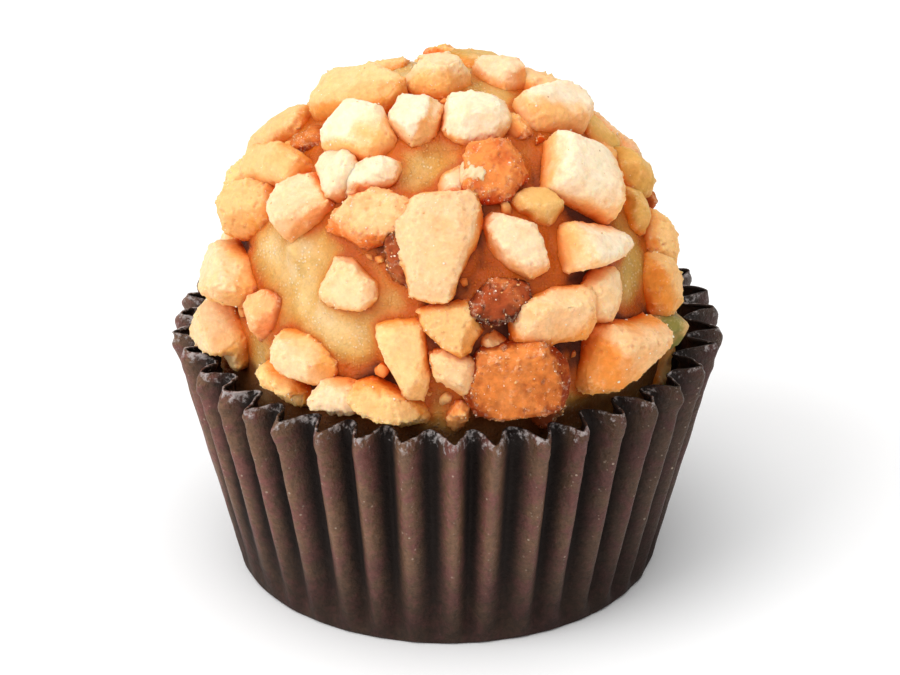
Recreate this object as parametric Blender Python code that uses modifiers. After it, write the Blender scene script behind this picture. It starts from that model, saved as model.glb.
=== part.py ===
"""A brigadeiro rolled in chopped walnut, sitting in its pleated paper case.

Two solids: the paper case, and the sweet with the nut pieces fused to it. Metres, +Z up. The origin is
the middle of the case's flat base, and -Y is the front. A place on the sweet is given by two angles: how
far around from the front, to the right, and how far down from its top.
"""

import math
import random
from typing import NamedTuple

import bmesh
import bpy
from mathutils import Matrix, Vector

MM = 0.001

# The paper case
CASE_BASE_RADIUS = 15.6 * MM
CASE_RIM_RADIUS = 20.5 * MM
CASE_HEIGHT = 18.8 * MM
CASE_CORNER = 0.6 * MM
PAPER_THICKNESS = 0.2 * MM
FLUTES = 38
COLUMNS_PER_FLUTE = 6
FLUTE_DEPTH = 2.4 * MM  # at the rim, from a ridge to the groove beside it
FLUTE_START_SHARE = 0.3  # of that depth, just above the base
FLUTE_FADE_HEIGHT = 1.6 * MM  # the flutes grow out of the flat base over this height
FLUTE_FULLNESS = 0.05  # of a flute's width; makes ridges and grooves full and the walls between them steep
RIDGE_ROUNDING = 0.5  # under 1 makes the ridges broad and round and the grooves narrow
FRONT_RIDGE_BEARING = math.radians(1.3)
FLUTE_UNEVENNESS = 0.12  # of a flute's width
DEPTH_UNEVENNESS = 0.08  # of a flute's depth
RIDGE_INSET = 0.3 * MM  # how far in the most crushed ridge lies

# The sweet
SWEET_RADIUS = 16.0 * MM
SWEET_MIDDLE = 21.0 * MM  # height of its widest ring
SWEET_TOP = 38.0 * MM
SWEET_BOTTOM = 0.6 * MM
SLUMP = 3.0  # over 2 fills the lower half out towards the case
SWEET_SIDES = 48
SWEET_RINGS_ABOVE = 9
SWEET_RINGS_BELOW = 8

# The shape of a nut piece
NUT_SINK = 1.1 * MM  # how deep it sits in the sweet
FOOT_SPREAD = 0.95  # of its outline
SHOULDER_HEIGHTS = (0.45, 0.75)  # of its rise, the least and the most; there it has its full outline
CROWN_SPREADS = (0.68, 0.86)  # of its outline, the least and the most
PEBBLE_SPREADS = (0.8, 1.0, 0.64)  # at the foot, shoulder and crown of a rounded piece
PEBBLE_SHOULDER = 0.4  # of its rise
CORNER_SHIFTS = (0.88, 1.06)  # the least and the most that a corner's place is stretched
CROWN_SLOPE = 0.28  # of the rise, the most that the crown tips each way
CROWN_DROP = 0.22  # of the rise, the most that one corner of the crown is lower
NUT_SEED = 1000

# Where the nut pieces may be
CASE_CLEARANCE = 0.3 * MM
RIM_CLEARANCE = 0.8 * MM  # from this far above the rim, a piece may reach out over it
CUTTER_REACH = 1.2  # of the rim radius, how far out the cutter goes
LOOSE_SEED = 23
LOOSE_TRIES = 5000
LOOSE_LONGEST = 6.8  # mm
LOOSE_SHORTEST = 2.6  # mm
LOOSE_WIDTHS = (0.6, 0.9)  # of its length, the least and the most
LOOSE_RISES = (0.4, 0.62)  # of its length, the least and the most
LOOSE_RISE = 2.5  # mm, the most that a piece at the back stands out
EDGE_RISE = 0.8  # mm, the most that shows of it past the edge of the sweet, seen from the front
PLACED_SHARE = 0.2  # from here to straight on, every piece is placed by hand
FRONT_TILT = math.radians(26.5)  # the front is seen from this far above level
LOWEST_NUT = 103.0  # degrees down from the top; below this the case hides the sweet
NUT_CROWDING = 0.4  # of two pieces' summed lengths, the least distance between their middles

WELD_DISTANCE = 0.004 * MM
SEAM_DISTANCE = 0.01 * MM  # closes the seam and the ends of a turned shape

PAPER_COLOUR = (0.030, 0.020, 0.017, 1.0)
PAPER_ROUGHNESS = 0.45
NUT_COLOUR = (0.78, 0.50, 0.22, 1.0)
NUT_ROUGHNESS = 0.5

# Outlines of a nut piece seen from above, in shares of half its length and half its width
OUTLINES = {
    "block": ((-0.95, -0.80), (0.85, -1.00), (1.00, 0.75), (0.20, 1.00), (-0.80, 0.90)),
    "corner": ((-1.00, -0.95), (-0.55, -1.00), (1.00, 0.55), (0.95, 0.95), (-0.90, 1.00)),
    "kite": ((-1.00, -0.40), (0.55, -1.00), (1.00, -0.70), (1.00, 0.20), (0.45, 1.00), (-0.90, 0.35)),
    "pebble": ((-1.00, -0.10), (-0.65, -0.85), (0.25, -1.00), (0.95, -0.50), (0.95, 0.40), (0.20, 1.00),
               (-0.70, 0.80)),
    "shard": ((-1.00, -0.10), (-0.20, -1.00), (0.75, -0.80), (1.00, 0.20), (0.10, 1.00)),
    "slab": ((-1.00, -0.45), (-0.55, -1.00), (0.80, -0.85), (1.00, 0.30), (0.40, 1.00), (-0.80, 0.85)),
    "splinter": ((-1.00, -0.10), (-0.40, -0.90), (0.50, -1.00), (1.00, 0.10), (0.30, 1.00), (-0.55, 0.70)),
    "tooth": ((-1.00, -0.85), (0.70, -1.00), (1.00, -0.45), (0.90, 0.10), (0.10, 1.00), (-0.45, 0.85)),
    "wedge": ((-1.00, -0.90), (0.90, -0.45), (1.00, 0.15), (0.60, 0.55), (-0.85, 1.00)),
}


class Nut(NamedTuple):
    """One piece of nut: its middle's place in degrees, its sizes in mm, and its outline.

    turn is the slope of its length, in degrees anticlockwise from level, as seen from outside.
    """

    around: float
    down: float
    length: float
    width: float
    rise: float
    turn: float
    outline: str


# The pieces that show from the front, from the top of the sweet down to the rim of the case
PLACED_NUTS = (
    Nut(-35, 4.5, 5.2, 4.8, 2.2, 10, "pebble"),
    Nut(98, 14, 3.8, 3.0, 1.9, 40, "block"),
    Nut(19, 20.5, 5.5, 5.2, 2.2, 10, "pebble"),
    Nut(-21, 21.5, 4.8, 3.5, 2.3, 82, "slab"),
    Nut(-82, 23.5, 8.2, 4.6, 2.0, 50, "slab"),
    Nut(98, 27, 6.0, 3.6, 1.6, 80, "slab"),
    Nut(45, 26, 3.0, 2.4, 1.2, 0, "pebble"),
    Nut(72, 28.5, 6.6, 3.6, 2.2, -37, "slab"),
    Nut(-47, 31, 5.8, 4.4, 2.4, 8, "slab"),
    Nut(50, 33, 1.8, 1.5, 1.2, 0, "shard"),
    Nut(17, 37, 6.2, 5.0, 2.2, 35, "shard"),
    Nut(3, 38.5, 3.4, 2.2, 1.1, 30, "splinter"),
    Nut(-100, 48, 6.8, 4.4, 1.9, 82, "slab"),
    Nut(-44.5, 41, 4.6, 3.2, 1.8, -38, "slab"),
    Nut(-32, 39.5, 6.2, 2.8, 1.6, 40, "splinter"),
    Nut(88, 42, 4.8, 3.8, 0.9, 75, "pebble"),
    Nut(54, 45, 6.8, 5.6, 2.7, -42, "block"),
    Nut(32.5, 47.5, 4.8, 2.6, 1.6, -28, "splinter"),
    Nut(-76, 50, 8.2, 3.2, 2.3, 30, "slab"),
    Nut(-25, 49.5, 7.0, 4.6, 2.2, 20, "shard"),
    Nut(-52, 52.5, 4.9, 4.5, 2.4, 70, "block"),
    Nut(-92, 60, 4.2, 3.4, 2.4, 60, "pebble"),
    Nut(84, 54, 4.8, 3.8, 1.8, 80, "pebble"),
    Nut(-3.5, 55, 8.2, 6.8, 2.5, 86, "kite"),
    Nut(21.5, 55, 6.2, 4.0, 1.8, -58, "shard"),
    Nut(47.5, 61.5, 7.0, 4.0, 2.3, -14, "wedge"),
    Nut(-14, 58, 4.6, 2.4, 1.8, -62, "splinter"),
    Nut(-74, 60.5, 5.6, 4.5, 2.7, 70, "pebble"),
    Nut(-48, 63, 3.6, 3.0, 0.7, 20, "pebble"),
    Nut(-28, 66, 5.0, 3.6, 1.5, 8, "tooth"),
    Nut(12.5, 68, 6.2, 3.4, 1.8, 14, "shard"),
    Nut(77, 71.5, 5.6, 3.8, 2.0, 84, "pebble"),
    Nut(44, 72.5, 4.8, 3.9, 1.9, 72, "pebble"),
    Nut(-72, 76.5, 7.2, 3.5, 3.1, -5, "slab"),
    Nut(1, 73, 5.2, 4.3, 2.1, -28, "shard"),
    Nut(27, 74, 7.0, 3.9, 2.4, 2, "block"),
    Nut(-54, 81, 4.4, 3.1, 1.9, 75, "pebble"),
    Nut(12, 78, 2.4, 2.3, 1.4, 30, "pebble"),
    Nut(69, 78.5, 5.4, 3.4, 2.0, 86, "slab"),
    Nut(-10, 82, 6.0, 3.9, 1.9, -68, "wedge"),
    Nut(-38, 86, 6.4, 3.5, 2.5, -10, "pebble"),
    Nut(-72, 92, 6.2, 4.2, 3.3, -50, "slab"),
    Nut(3, 84, 5.4, 2.8, 1.9, -36, "splinter"),
    Nut(67, 89.5, 4.4, 3.4, 2.4, 0, "pebble"),
    Nut(17.5, 86.5, 7.6, 6.0, 3.1, 0, "slab"),
    Nut(-43.5, 94, 5.4, 2.7, 3.0, -20, "splinter"),
    Nut(47.5, 89, 7.4, 5.3, 3.2, -14, "corner"),
    Nut(-27, 93, 4.8, 2.9, 3.0, -4, "slab"),
    Nut(-13.5, 92.5, 6.8, 2.9, 3.2, -24, "splinter"),
    Nut(73, 60, 4.2, 3.0, 1.4, 70, "pebble"),
    Nut(80, 46, 3.6, 2.0, 0.9, -60, "splinter"),
    Nut(-76, 38, 4.4, 2.8, 0.9, 70, "splinter"),
    Nut(3, 95, 2.6, 1.9, 2.0, 70, "splinter"),
    Nut(26, 97, 3.0, 2.2, 1.3, 40, "wedge"),
    Nut(11, 36.5, 4.4, 2.2, 2.0, 78, "slab"),
)


def clear_scene():
    """Removes what Blender's startup file holds."""
    for obj in list(bpy.data.objects):
        bpy.data.objects.remove(obj, do_unlink=True)


def new_collection(name):
    """A new collection in the scene."""
    collection = bpy.data.collections.new(name)
    bpy.context.scene.collection.children.link(collection)
    return collection


def plain_material(name, colour, roughness):
    """A material of one colour and roughness."""
    material = bpy.data.materials.new(name)
    material.use_nodes = True
    shader = material.node_tree.nodes["Principled BSDF"]
    shader.inputs["Base Color"].default_value = colour
    shader.inputs["Roughness"].default_value = roughness
    return material


def mesh_object(name, mesh, collection):
    """A new object for a mesh, in a collection."""
    obj = bpy.data.objects.new(name, mesh)
    collection.objects.link(obj)
    return obj


def turned_shape(name, profile, steps, collection):
    """An object made by turning a profile of (radius, height) points about the Z axis."""
    mesh = bpy.data.meshes.new(name)
    points = [(radius, 0.0, height) for radius, height in profile]
    mesh.from_pydata(points, [(i, i + 1) for i in range(len(points) - 1)], [])
    obj = mesh_object(name, mesh, collection)
    screw = obj.modifiers.new("Turn", "SCREW")
    screw.axis = "Z"
    screw.steps = screw.render_steps = steps
    screw.use_merge_vertices = True
    screw.merge_threshold = SEAM_DISTANCE
    return obj


def apply_modifiers(obj):
    """Puts the evaluated mesh in the place of the object's own, and drops its modifiers."""
    graph = bpy.context.evaluated_depsgraph_get()
    mesh = bpy.data.meshes.new_from_object(obj.evaluated_get(graph))
    obj.modifiers.clear()
    obj.data = mesh
    return mesh


# The paper case


def uneven_flutes():
    """For each flute: its ridge's bearing in turns and inset, and the depth of the groove after it."""
    draw = random.Random(FLUTES)
    ridges = []
    for index in range(FLUTES):
        bearing = (index + FLUTE_UNEVENNESS * draw.uniform(-1, 1)) / FLUTES
        inset = RIDGE_INSET * draw.random() ** 2
        depth = FLUTE_DEPTH * (1 + DEPTH_UNEVENNESS * draw.uniform(-1, 1))
        ridges.append((bearing, inset, depth))
    return ridges


def fluted(point, ridges):
    """Where a point of the plain cone-shaped case goes once its wall is pleated."""
    if point.z <= 0:
        return point
    half_column = 0.5 / COLUMNS_PER_FLUTE  # so that ridges and grooves are two columns broad, not pointed
    flutes = (math.atan2(point.x, -point.y) / math.tau) % 1.0 * FLUTES + half_column
    index = int(flutes) % FLUTES
    share = flutes - int(flutes)
    here, inset, depth = ridges[index]
    after, next_inset, _ = ridges[(index + 1) % FLUTES]
    if index == FLUTES - 1:
        after += 1.0
    full_share = share + FLUTE_FULLNESS * math.sin(2 * math.tau * share)
    bearing = FRONT_RIDGE_BEARING + math.tau * (here + (after - here) * full_share)
    crest = math.cos(math.tau * half_column)
    wave = max(0.0, (1 + math.cos(math.tau * share) / crest) / 2) ** RIDGE_ROUNDING
    rim_inset = inset + (next_inset - inset) * share + depth * (1 - wave)

    height_share = point.z / CASE_HEIGHT
    fade = min(1.0, point.z / FLUTE_FADE_HEIGHT)
    growth = (FLUTE_START_SHARE + (1 - FLUTE_START_SHARE) * height_share) * fade
    radius = math.hypot(point.x, point.y) - rim_inset * growth

    # The wall is one length of paper, so a groove, which leans out less, stands a little higher
    lean = CASE_RIM_RADIUS - CASE_BASE_RADIUS
    slant = math.hypot(CASE_HEIGHT, lean)
    reach = lean - rim_inset
    rim_height = math.sqrt(slant * slant - reach * reach)
    height = point.z * (1 + (rim_height / CASE_HEIGHT - 1) * height_share)
    return Vector((radius * math.sin(bearing), -radius * math.cos(bearing), height))


def build_case(collection):
    """The pleated paper case: a turned sheet, pushed into flutes, then given the paper's thickness."""
    slope = (CASE_RIM_RADIUS - CASE_BASE_RADIUS) / CASE_HEIGHT
    wall_heights = (CASE_HEIGHT, CASE_HEIGHT / 2, FLUTE_FADE_HEIGHT, CASE_CORNER)
    profile = [(CASE_BASE_RADIUS + slope * height, height) for height in wall_heights]
    profile += [(CASE_BASE_RADIUS - CASE_CORNER / 2, 0.0), (0.0, 0.0)]
    case = turned_shape("paper_case", profile, FLUTES * COLUMNS_PER_FLUTE, collection)
    sheet = apply_modifiers(case)
    ridges = uneven_flutes()
    for vertex in sheet.vertices:
        vertex.co = fluted(vertex.co.copy(), ridges)
    paper = case.modifiers.new("Paper", "SOLIDIFY")
    paper.thickness = PAPER_THICKNESS
    paper.offset = -1.0
    case.data.materials.append(plain_material("Paper", PAPER_COLOUR, PAPER_ROUGHNESS))
    return case


# The sweet and its nuts


def sweet_radius_at(height):
    """The bare sweet's radius at a height above the base."""
    if height >= SWEET_MIDDLE:
        share = (height - SWEET_MIDDLE) / (SWEET_TOP - SWEET_MIDDLE)
        return SWEET_RADIUS * math.sqrt(max(0.0, 1 - share * share))
    share = (SWEET_MIDDLE - height) / (SWEET_MIDDLE - SWEET_BOTTOM)
    return SWEET_RADIUS * max(0.0, 1 - share**SLUMP) ** (1 / SLUMP)


def height_down(down):
    """The height on the sweet that lies so many degrees down from its top."""
    rise = math.cos(math.radians(down))
    half = SWEET_TOP - SWEET_MIDDLE if rise >= 0 else SWEET_MIDDLE - SWEET_BOTTOM
    return SWEET_MIDDLE + half * rise


def sweet_profile():
    """The sweet's outline from its top to its bottom, both on the axis."""
    downs = [90 * i / SWEET_RINGS_ABOVE for i in range(SWEET_RINGS_ABOVE + 1)]
    downs += [90 + 90 * i / SWEET_RINGS_BELOW for i in range(1, SWEET_RINGS_BELOW + 1)]
    heights = [height_down(down) for down in downs]
    return [(sweet_radius_at(height), height) for height in heights]


def seat_on_sweet(around, down):
    """A frame on the sweet's surface: X level and to the right, Y up the surface, Z outwards."""
    height = height_down(down)
    radius = sweet_radius_at(height)
    step = 0.05 * MM
    run = sweet_radius_at(height - step) - sweet_radius_at(height + step)
    outward = Vector((2 * step, 0, run)).normalized()
    bearing = math.radians(around)
    out = Vector((math.sin(bearing), -math.cos(bearing), 0))
    z_axis = (out * outward.x + Vector((0, 0, 1)) * outward.z).normalized()
    x_axis = Vector((math.cos(bearing), math.sin(bearing), 0))
    y_axis = z_axis.cross(x_axis)
    seat = Matrix((x_axis, y_axis, z_axis)).transposed().to_4x4()
    seat.translation = out * radius + Vector((0, 0, height))
    return seat


def nut_corners(nut, draw):
    """The corners of one piece in its own frame: foot, sunk in the sweet, shoulder and uneven crown."""
    length, width, rise = nut.length * MM, nut.width * MM, nut.rise * MM
    slope_x = draw.uniform(-CROWN_SLOPE, CROWN_SLOPE)
    slope_y = draw.uniform(-CROWN_SLOPE, CROWN_SLOPE)
    shoulder = draw.uniform(*SHOULDER_HEIGHTS) * rise
    spreads = (FOOT_SPREAD, 1.0, draw.uniform(*CROWN_SPREADS))
    if nut.outline == "pebble":
        shoulder = PEBBLE_SHOULDER * rise
        spreads = PEBBLE_SPREADS
    corners = []
    for height, spread in zip((-NUT_SINK, shoulder, rise), spreads):
        for x, y in OUTLINES[nut.outline]:
            x *= spread * draw.uniform(*CORNER_SHIFTS)
            y *= spread * draw.uniform(*CORNER_SHIFTS)
            drop = draw.uniform(0, CROWN_DROP)
            lift = height * (slope_x * x + slope_y * y - drop) if height > 0 else 0.0
            corners.append(Vector((x * length / 2, y * width / 2, height + lift)))
    return corners


def build_nut(index, nut, collection):
    """One piece of nut: the hull of its corners, lying on the sweet and sunk into it."""
    draw = random.Random(NUT_SEED + index)
    shape = bmesh.new()
    for corner in nut_corners(nut, draw):
        shape.verts.new(corner)
    hull = bmesh.ops.convex_hull(shape, input=shape.verts)
    inner = [item for item in hull["geom_interior"] if isinstance(item, bmesh.types.BMVert)]
    bmesh.ops.delete(shape, geom=inner, context="VERTS")
    turn = Matrix.Rotation(math.radians(nut.turn), 4, "Z")
    shape.transform(seat_on_sweet(nut.around, nut.down) @ turn)
    bmesh.ops.recalc_face_normals(shape, faces=shape.faces)
    mesh = bpy.data.meshes.new("nut_piece")
    shape.to_mesh(mesh)
    shape.free()
    return mesh_object(f"nut_piece_{index:03d}", mesh, collection)


def middle_of(nut):
    """Where a piece's middle meets the sweet's surface."""
    return seat_on_sweet(nut.around, nut.down).translation


def front_share(around, down):
    """How much a place on the sweet faces the front: 1 straight on, 0 seen edge on, under 0 behind."""
    level = math.sin(math.radians(down)) * math.cos(math.radians(around))
    upright = math.cos(math.radians(down))
    return level * math.cos(FRONT_TILT) + upright * math.sin(FRONT_TILT)


def highest_rise(share):
    """The most, in mm, that a loose piece stands out: near the edge seen from the front, only a little."""
    if share >= 0:
        return EDGE_RISE
    beyond_edge = SWEET_RADIUS / MM * (1 / math.sqrt(1 - share * share) - 1)
    return min(LOOSE_RISE, EDGE_RISE + beyond_edge)


def loose_nuts():
    """Pieces for where none is placed by hand: the back, and the sides down to below the rim.

    The largest are tried first, so that the smaller ones fill what is left between them.
    """
    draw = random.Random(LOOSE_SEED)
    taken = [(middle_of(nut), nut.length) for nut in PLACED_NUTS]
    found = []
    for attempt in range(LOOSE_TRIES):
        around = draw.uniform(-180, 180)
        down = math.degrees(math.acos(draw.uniform(math.cos(math.radians(LOWEST_NUT)), 1)))
        length = LOOSE_LONGEST - (LOOSE_LONGEST - LOOSE_SHORTEST) * attempt / LOOSE_TRIES
        width = length * draw.uniform(*LOOSE_WIDTHS)
        rise = length * draw.uniform(*LOOSE_RISES)
        turn = draw.uniform(0, 180)
        outline = draw.choice(sorted(OUTLINES))
        share = front_share(around, down)
        nut = Nut(around, down, length, width, min(rise, highest_rise(share)), turn, outline)
        middle = middle_of(nut)
        clear = all(
            (middle - other).length > NUT_CROWDING * MM * (length + other_length)
            for other, other_length in taken
        )
        if clear and share < PLACED_SHARE:
            taken.append((middle, length))
            found.append(nut)
    return found


def build_case_gap(collection):
    """A cutter that keeps the nuts clear of the case: all that is outside the grooves' inner line."""

    def groove_radius(height):
        share = height / CASE_HEIGHT
        deepest = FLUTE_DEPTH * (1 + DEPTH_UNEVENNESS) + RIDGE_INSET
        plain = CASE_BASE_RADIUS + (CASE_RIM_RADIUS - CASE_BASE_RADIUS) * share
        growth = FLUTE_START_SHARE + (1 - FLUTE_START_SHARE) * share
        return plain - deepest * growth - PAPER_THICKNESS - CASE_CLEARANCE

    outside = CUTTER_REACH * CASE_RIM_RADIUS
    top = CASE_HEIGHT + RIM_CLEARANCE
    middle = CASE_HEIGHT / 2
    profile = [
        (outside, top),
        (outside, 0.0),
        (groove_radius(0.0), 0.0),
        (groove_radius(middle), middle),
        (groove_radius(CASE_HEIGHT), top),
        (outside, top),
    ]
    cutter = turned_shape("case_gap", profile, 2 * SWEET_SIDES, collection)
    cutter.hide_render = True
    cutter.display_type = "WIRE"
    return cutter


def keep_outer_skin(mesh):
    """Drops sealed hollows and loose scraps, which leaves the one large closed skin."""
    shape = bmesh.new()
    shape.from_mesh(mesh)
    bmesh.ops.remove_doubles(shape, verts=shape.verts, dist=WELD_DISTANCE)
    left = set(shape.faces)
    skins = []
    while left:
        skin, waiting = [], [left.pop()]
        while waiting:
            face = waiting.pop()
            skin.append(face)
            touching = {other for edge in face.edges for other in edge.link_faces} & left
            left -= touching
            waiting.extend(touching)
        skins.append(skin)
    skins.sort(key=len)
    scraps = [face for skin in skins[:-1] for face in skin]
    bmesh.ops.delete(shape, geom=scraps, context="FACES")
    bmesh.ops.recalc_face_normals(shape, faces=shape.faces)
    shape.to_mesh(mesh)
    shape.free()


def build_sweet(collection, helpers):
    """The sweet with every nut piece fused to it, trimmed clear of the case."""
    sweet = turned_shape("nut_coated_sweet", sweet_profile(), SWEET_SIDES, collection)
    apply_modifiers(sweet)
    pieces = new_collection("nut pieces")
    for index, nut in enumerate(list(PLACED_NUTS) + loose_nuts()):
        build_nut(index, nut, pieces)
    fuse = sweet.modifiers.new("Fuse nuts", "BOOLEAN")
    fuse.operation = "UNION"
    fuse.operand_type = "COLLECTION"
    fuse.collection = pieces
    gap = build_case_gap(helpers)
    apply_modifiers(gap)
    trim = sweet.modifiers.new("Clear the case", "BOOLEAN")
    trim.operation = "DIFFERENCE"
    trim.object = gap
    mesh = apply_modifiers(sweet)
    for piece in list(pieces.objects):
        bpy.data.objects.remove(piece, do_unlink=True)
    bpy.data.collections.remove(pieces)
    keep_outer_skin(mesh)
    mesh.materials.clear()
    mesh.materials.append(plain_material("Chopped nuts", NUT_COLOUR, NUT_ROUGHNESS))
    return sweet


def main():
    """Builds both solids."""
    clear_scene()
    parts = new_collection("walnut brigadeiro")
    helpers = new_collection("cutters")
    helpers.hide_render = True
    build_case(parts)
    build_sweet(parts, helpers)


main()
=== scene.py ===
"""The dressed scene of a brigadeiro rolled in chopped nuts, sitting in its pleated paper case.

Metres, +Z up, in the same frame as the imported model. -Y is the front. A place on the sweet is given by two
angles: how far around from the front, to the right, and how far down from its top.
"""

import logging
import math
import random
from dataclasses import dataclass
from enum import Enum
from itertools import product
from typing import Any, NamedTuple, Union

import bmesh
import bpy
import numpy as np
from mathutils import Matrix, Vector
from mathutils.kdtree import KDTree


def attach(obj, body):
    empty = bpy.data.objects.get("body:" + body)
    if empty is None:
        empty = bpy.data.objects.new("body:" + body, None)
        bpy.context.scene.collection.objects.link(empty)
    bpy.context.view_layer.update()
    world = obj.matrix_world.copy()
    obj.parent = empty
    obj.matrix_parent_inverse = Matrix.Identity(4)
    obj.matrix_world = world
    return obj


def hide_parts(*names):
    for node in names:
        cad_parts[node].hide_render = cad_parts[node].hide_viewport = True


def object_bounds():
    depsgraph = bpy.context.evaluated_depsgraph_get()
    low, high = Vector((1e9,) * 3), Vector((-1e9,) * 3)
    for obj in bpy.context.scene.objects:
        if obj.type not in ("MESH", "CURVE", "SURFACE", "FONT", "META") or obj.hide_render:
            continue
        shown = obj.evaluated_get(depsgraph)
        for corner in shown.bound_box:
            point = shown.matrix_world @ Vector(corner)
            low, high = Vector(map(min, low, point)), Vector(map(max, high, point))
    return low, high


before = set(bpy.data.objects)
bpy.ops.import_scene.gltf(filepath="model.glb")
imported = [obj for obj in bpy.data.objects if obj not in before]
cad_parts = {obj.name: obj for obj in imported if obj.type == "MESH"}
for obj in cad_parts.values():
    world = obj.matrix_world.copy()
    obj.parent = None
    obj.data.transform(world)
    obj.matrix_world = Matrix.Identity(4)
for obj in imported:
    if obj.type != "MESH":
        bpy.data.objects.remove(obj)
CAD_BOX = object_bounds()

MM = 0.001
# Keeps a division clear of nought
TINY = 1e-12
BODY = "root"
CASE_NODE = "paper_case"
SWEET_NODE = "nut_coated_sweet"
# How clear a nut piece stays of the paper, and how far over the rim that still counts
CASE_CLEARANCE = 0.3 * MM
RIM_CLEARANCE = 0.8 * MM
# How near the bare sweet a nut piece's points count as its foot
FOOT_BAND = 0.12 * MM
CAMERA_TILT = math.radians(26.5)
# A nut piece that stands out less than this, in mm, only swells the sweet over it
LOWEST_SHOWN_RISE = 0.75

Triple = tuple[float, float, float]
Colour = Triple
# Where something starts and where it ends, or its least and its most
Span = tuple[float, float]
log = logging.getLogger("brigadeiro")


def linear(value: int) -> float:
    """How bright a screen's value from 0 to 255 really is, from 0 to 1."""
    share = value / 255
    return share / 12.92 if share <= 0.04045 else ((share + 0.055) / 1.055) ** 2.4


def colour(red: int, green: int, blue: int) -> Colour:
    """The linear colour that a screen shows as these values from 0 to 255."""
    return linear(red), linear(green), linear(blue)


def smooth_step(low: float, high: float, values: np.ndarray) -> np.ndarray:
    """0 below low, 1 above high, and a smooth rise between.

    Args:
        low: Where the rise starts.
        high: Where the rise ends.
        values: What is measured.

    Returns:
        A share from 0 to 1 for each value.
    """
    share = np.clip((values - low) / (high - low), 0.0, 1.0)
    return share * share * (3 - 2 * share)


def hump(values: np.ndarray, middle: float, width: float) -> np.ndarray:
    """1 at the middle, falling away smoothly to both sides.

    Args:
        values: What is measured.
        middle: Where the hump is highest.
        width: How far from there it has fallen to about a third.

    Returns:
        A share from 0 to 1 for each value.
    """
    return np.exp(-(((values - middle) / width) ** 2))


class Grain:
    """Seeded noise on arrays of points, for lumps, chips and grain that are really in the mesh.

    Points moved by a number, such as points + 7, read other lumps of the same kind.
    """

    CELLS = 256
    # These bring lumps and chips to about -1 to 1
    LUMP_SCALE = 1.6
    CHIP_SCALE = 2.5
    CHIP_LEVEL = 0.7
    # How much a chip's floor may slope, and how much higher it may lie than the next
    CHIP_TILT = 0.3
    CHIP_STEP = 0.15

    def __init__(self, seed: int) -> None:
        """Draws the tables that the noise reads.

        Args:
            seed: Which tables they are.
        """
        draw = np.random.default_rng(seed)
        self.order = draw.permutation(self.CELLS)
        slopes = draw.normal(size=(self.CELLS, 3))
        self.slopes = slopes / np.linalg.norm(slopes, axis=1, keepdims=True)
        self.places = draw.random((self.CELLS, 3))
        self.levels = draw.uniform(-1, 1, self.CELLS)

    def _cell(self, cells: np.ndarray) -> np.ndarray:
        """A table index for each cell of space.

        Args:
            cells: The cells, one row each.

        Returns:
            The indices.
        """
        index = self.order[cells[:, 0] % self.CELLS]
        index = self.order[(index + cells[:, 1]) % self.CELLS]
        return self.order[(index + cells[:, 2]) % self.CELLS]

    def lumps(self, points: np.ndarray, size: float) -> np.ndarray:
        """Soft lumps.

        Args:
            points: Where to read them, one row a point.
            size: How far apart the lumps are, in the points' unit.

        Returns:
            A height from about -1 to 1 for each point.
        """
        scaled = points / size
        cells = np.floor(scaled).astype(int)
        part = scaled - cells
        fade = part**3 * (part * (part * 6 - 15) + 10)
        total = np.zeros(len(points))
        for corner in product((0, 1), repeat=3):
            step = np.array(corner)
            slopes = self.slopes[self._cell(cells + step)]
            weight = np.prod(np.where(step, fade, 1 - fade), axis=1)
            total += weight * np.sum(slopes * (part - step), axis=1)
        return total * self.LUMP_SCALE

    def layers(self, points: np.ndarray, size: float, count: int = 2) -> np.ndarray:
        """Lumps on lumps, each layer half the size and half the height of the one before."""
        return sum(self.lumps(points, size / 2**i) / 2**i for i in range(count))

    def chips(self, points: np.ndarray, size: float) -> np.ndarray:
        """Shallow hollows that meet in sharp ridges, as on a broken nut.

        Args:
            points: Where to read them, one row a point.
            size: How broad the hollows are, in the points' unit.

        Returns:
            A height from about -1 to 1 for each point.
        """
        scaled = points / size
        cells = np.floor(scaled).astype(int)
        lowest = np.full(len(points), np.inf)
        for corner in product((-1, 0, 1), repeat=3):
            near = cells + np.array(corner)
            index = self._cell(near)
            away = scaled - near - self.places[index]
            tilted = self.CHIP_TILT * np.sum(away * self.slopes[index], axis=1)
            tilted += self.CHIP_STEP * self.levels[index]
            lowest = np.minimum(lowest, np.sum(away * away, axis=1) + tilted)
        return self.CHIP_SCALE * lowest - self.CHIP_LEVEL


class Clouds(NamedTuple):
    """Cloudy noise: how far apart its clouds are, how many finer layers it has, and how strong those are."""

    size: float
    detail: float = 2.0
    rough: float = 0.5


class Specks(NamedTuple):
    """Round specks: how far apart they could be, their radius in shares of that, and how many there are."""

    size: float
    radius: float
    share: float


class Value:
    """A shader socket that takes part in sums, so that shader maths reads as maths."""

    def __init__(self, graph: "Graph", socket: bpy.types.NodeSocket) -> None:
        """Wraps a socket of a graph."""
        self.graph = graph
        self.socket = socket

    def __add__(self, other: "Number") -> "Value":
        """Their sum."""
        return self.graph.maths("ADD", self, other)

    def __radd__(self, other: float) -> "Value":
        """Their sum."""
        return self.graph.maths("ADD", other, self)

    def __sub__(self, other: "Number") -> "Value":
        """What is left of this one."""
        return self.graph.maths("SUBTRACT", self, other)

    def __rsub__(self, other: float) -> "Value":
        """What is left of the number."""
        return self.graph.maths("SUBTRACT", other, self)

    def __mul__(self, other: "Number") -> "Value":
        """Their product."""
        return self.graph.maths("MULTIPLY", self, other)

    def __rmul__(self, other: float) -> "Value":
        """Their product."""
        return self.graph.maths("MULTIPLY", other, self)


Number = Union[Value, float]


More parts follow.
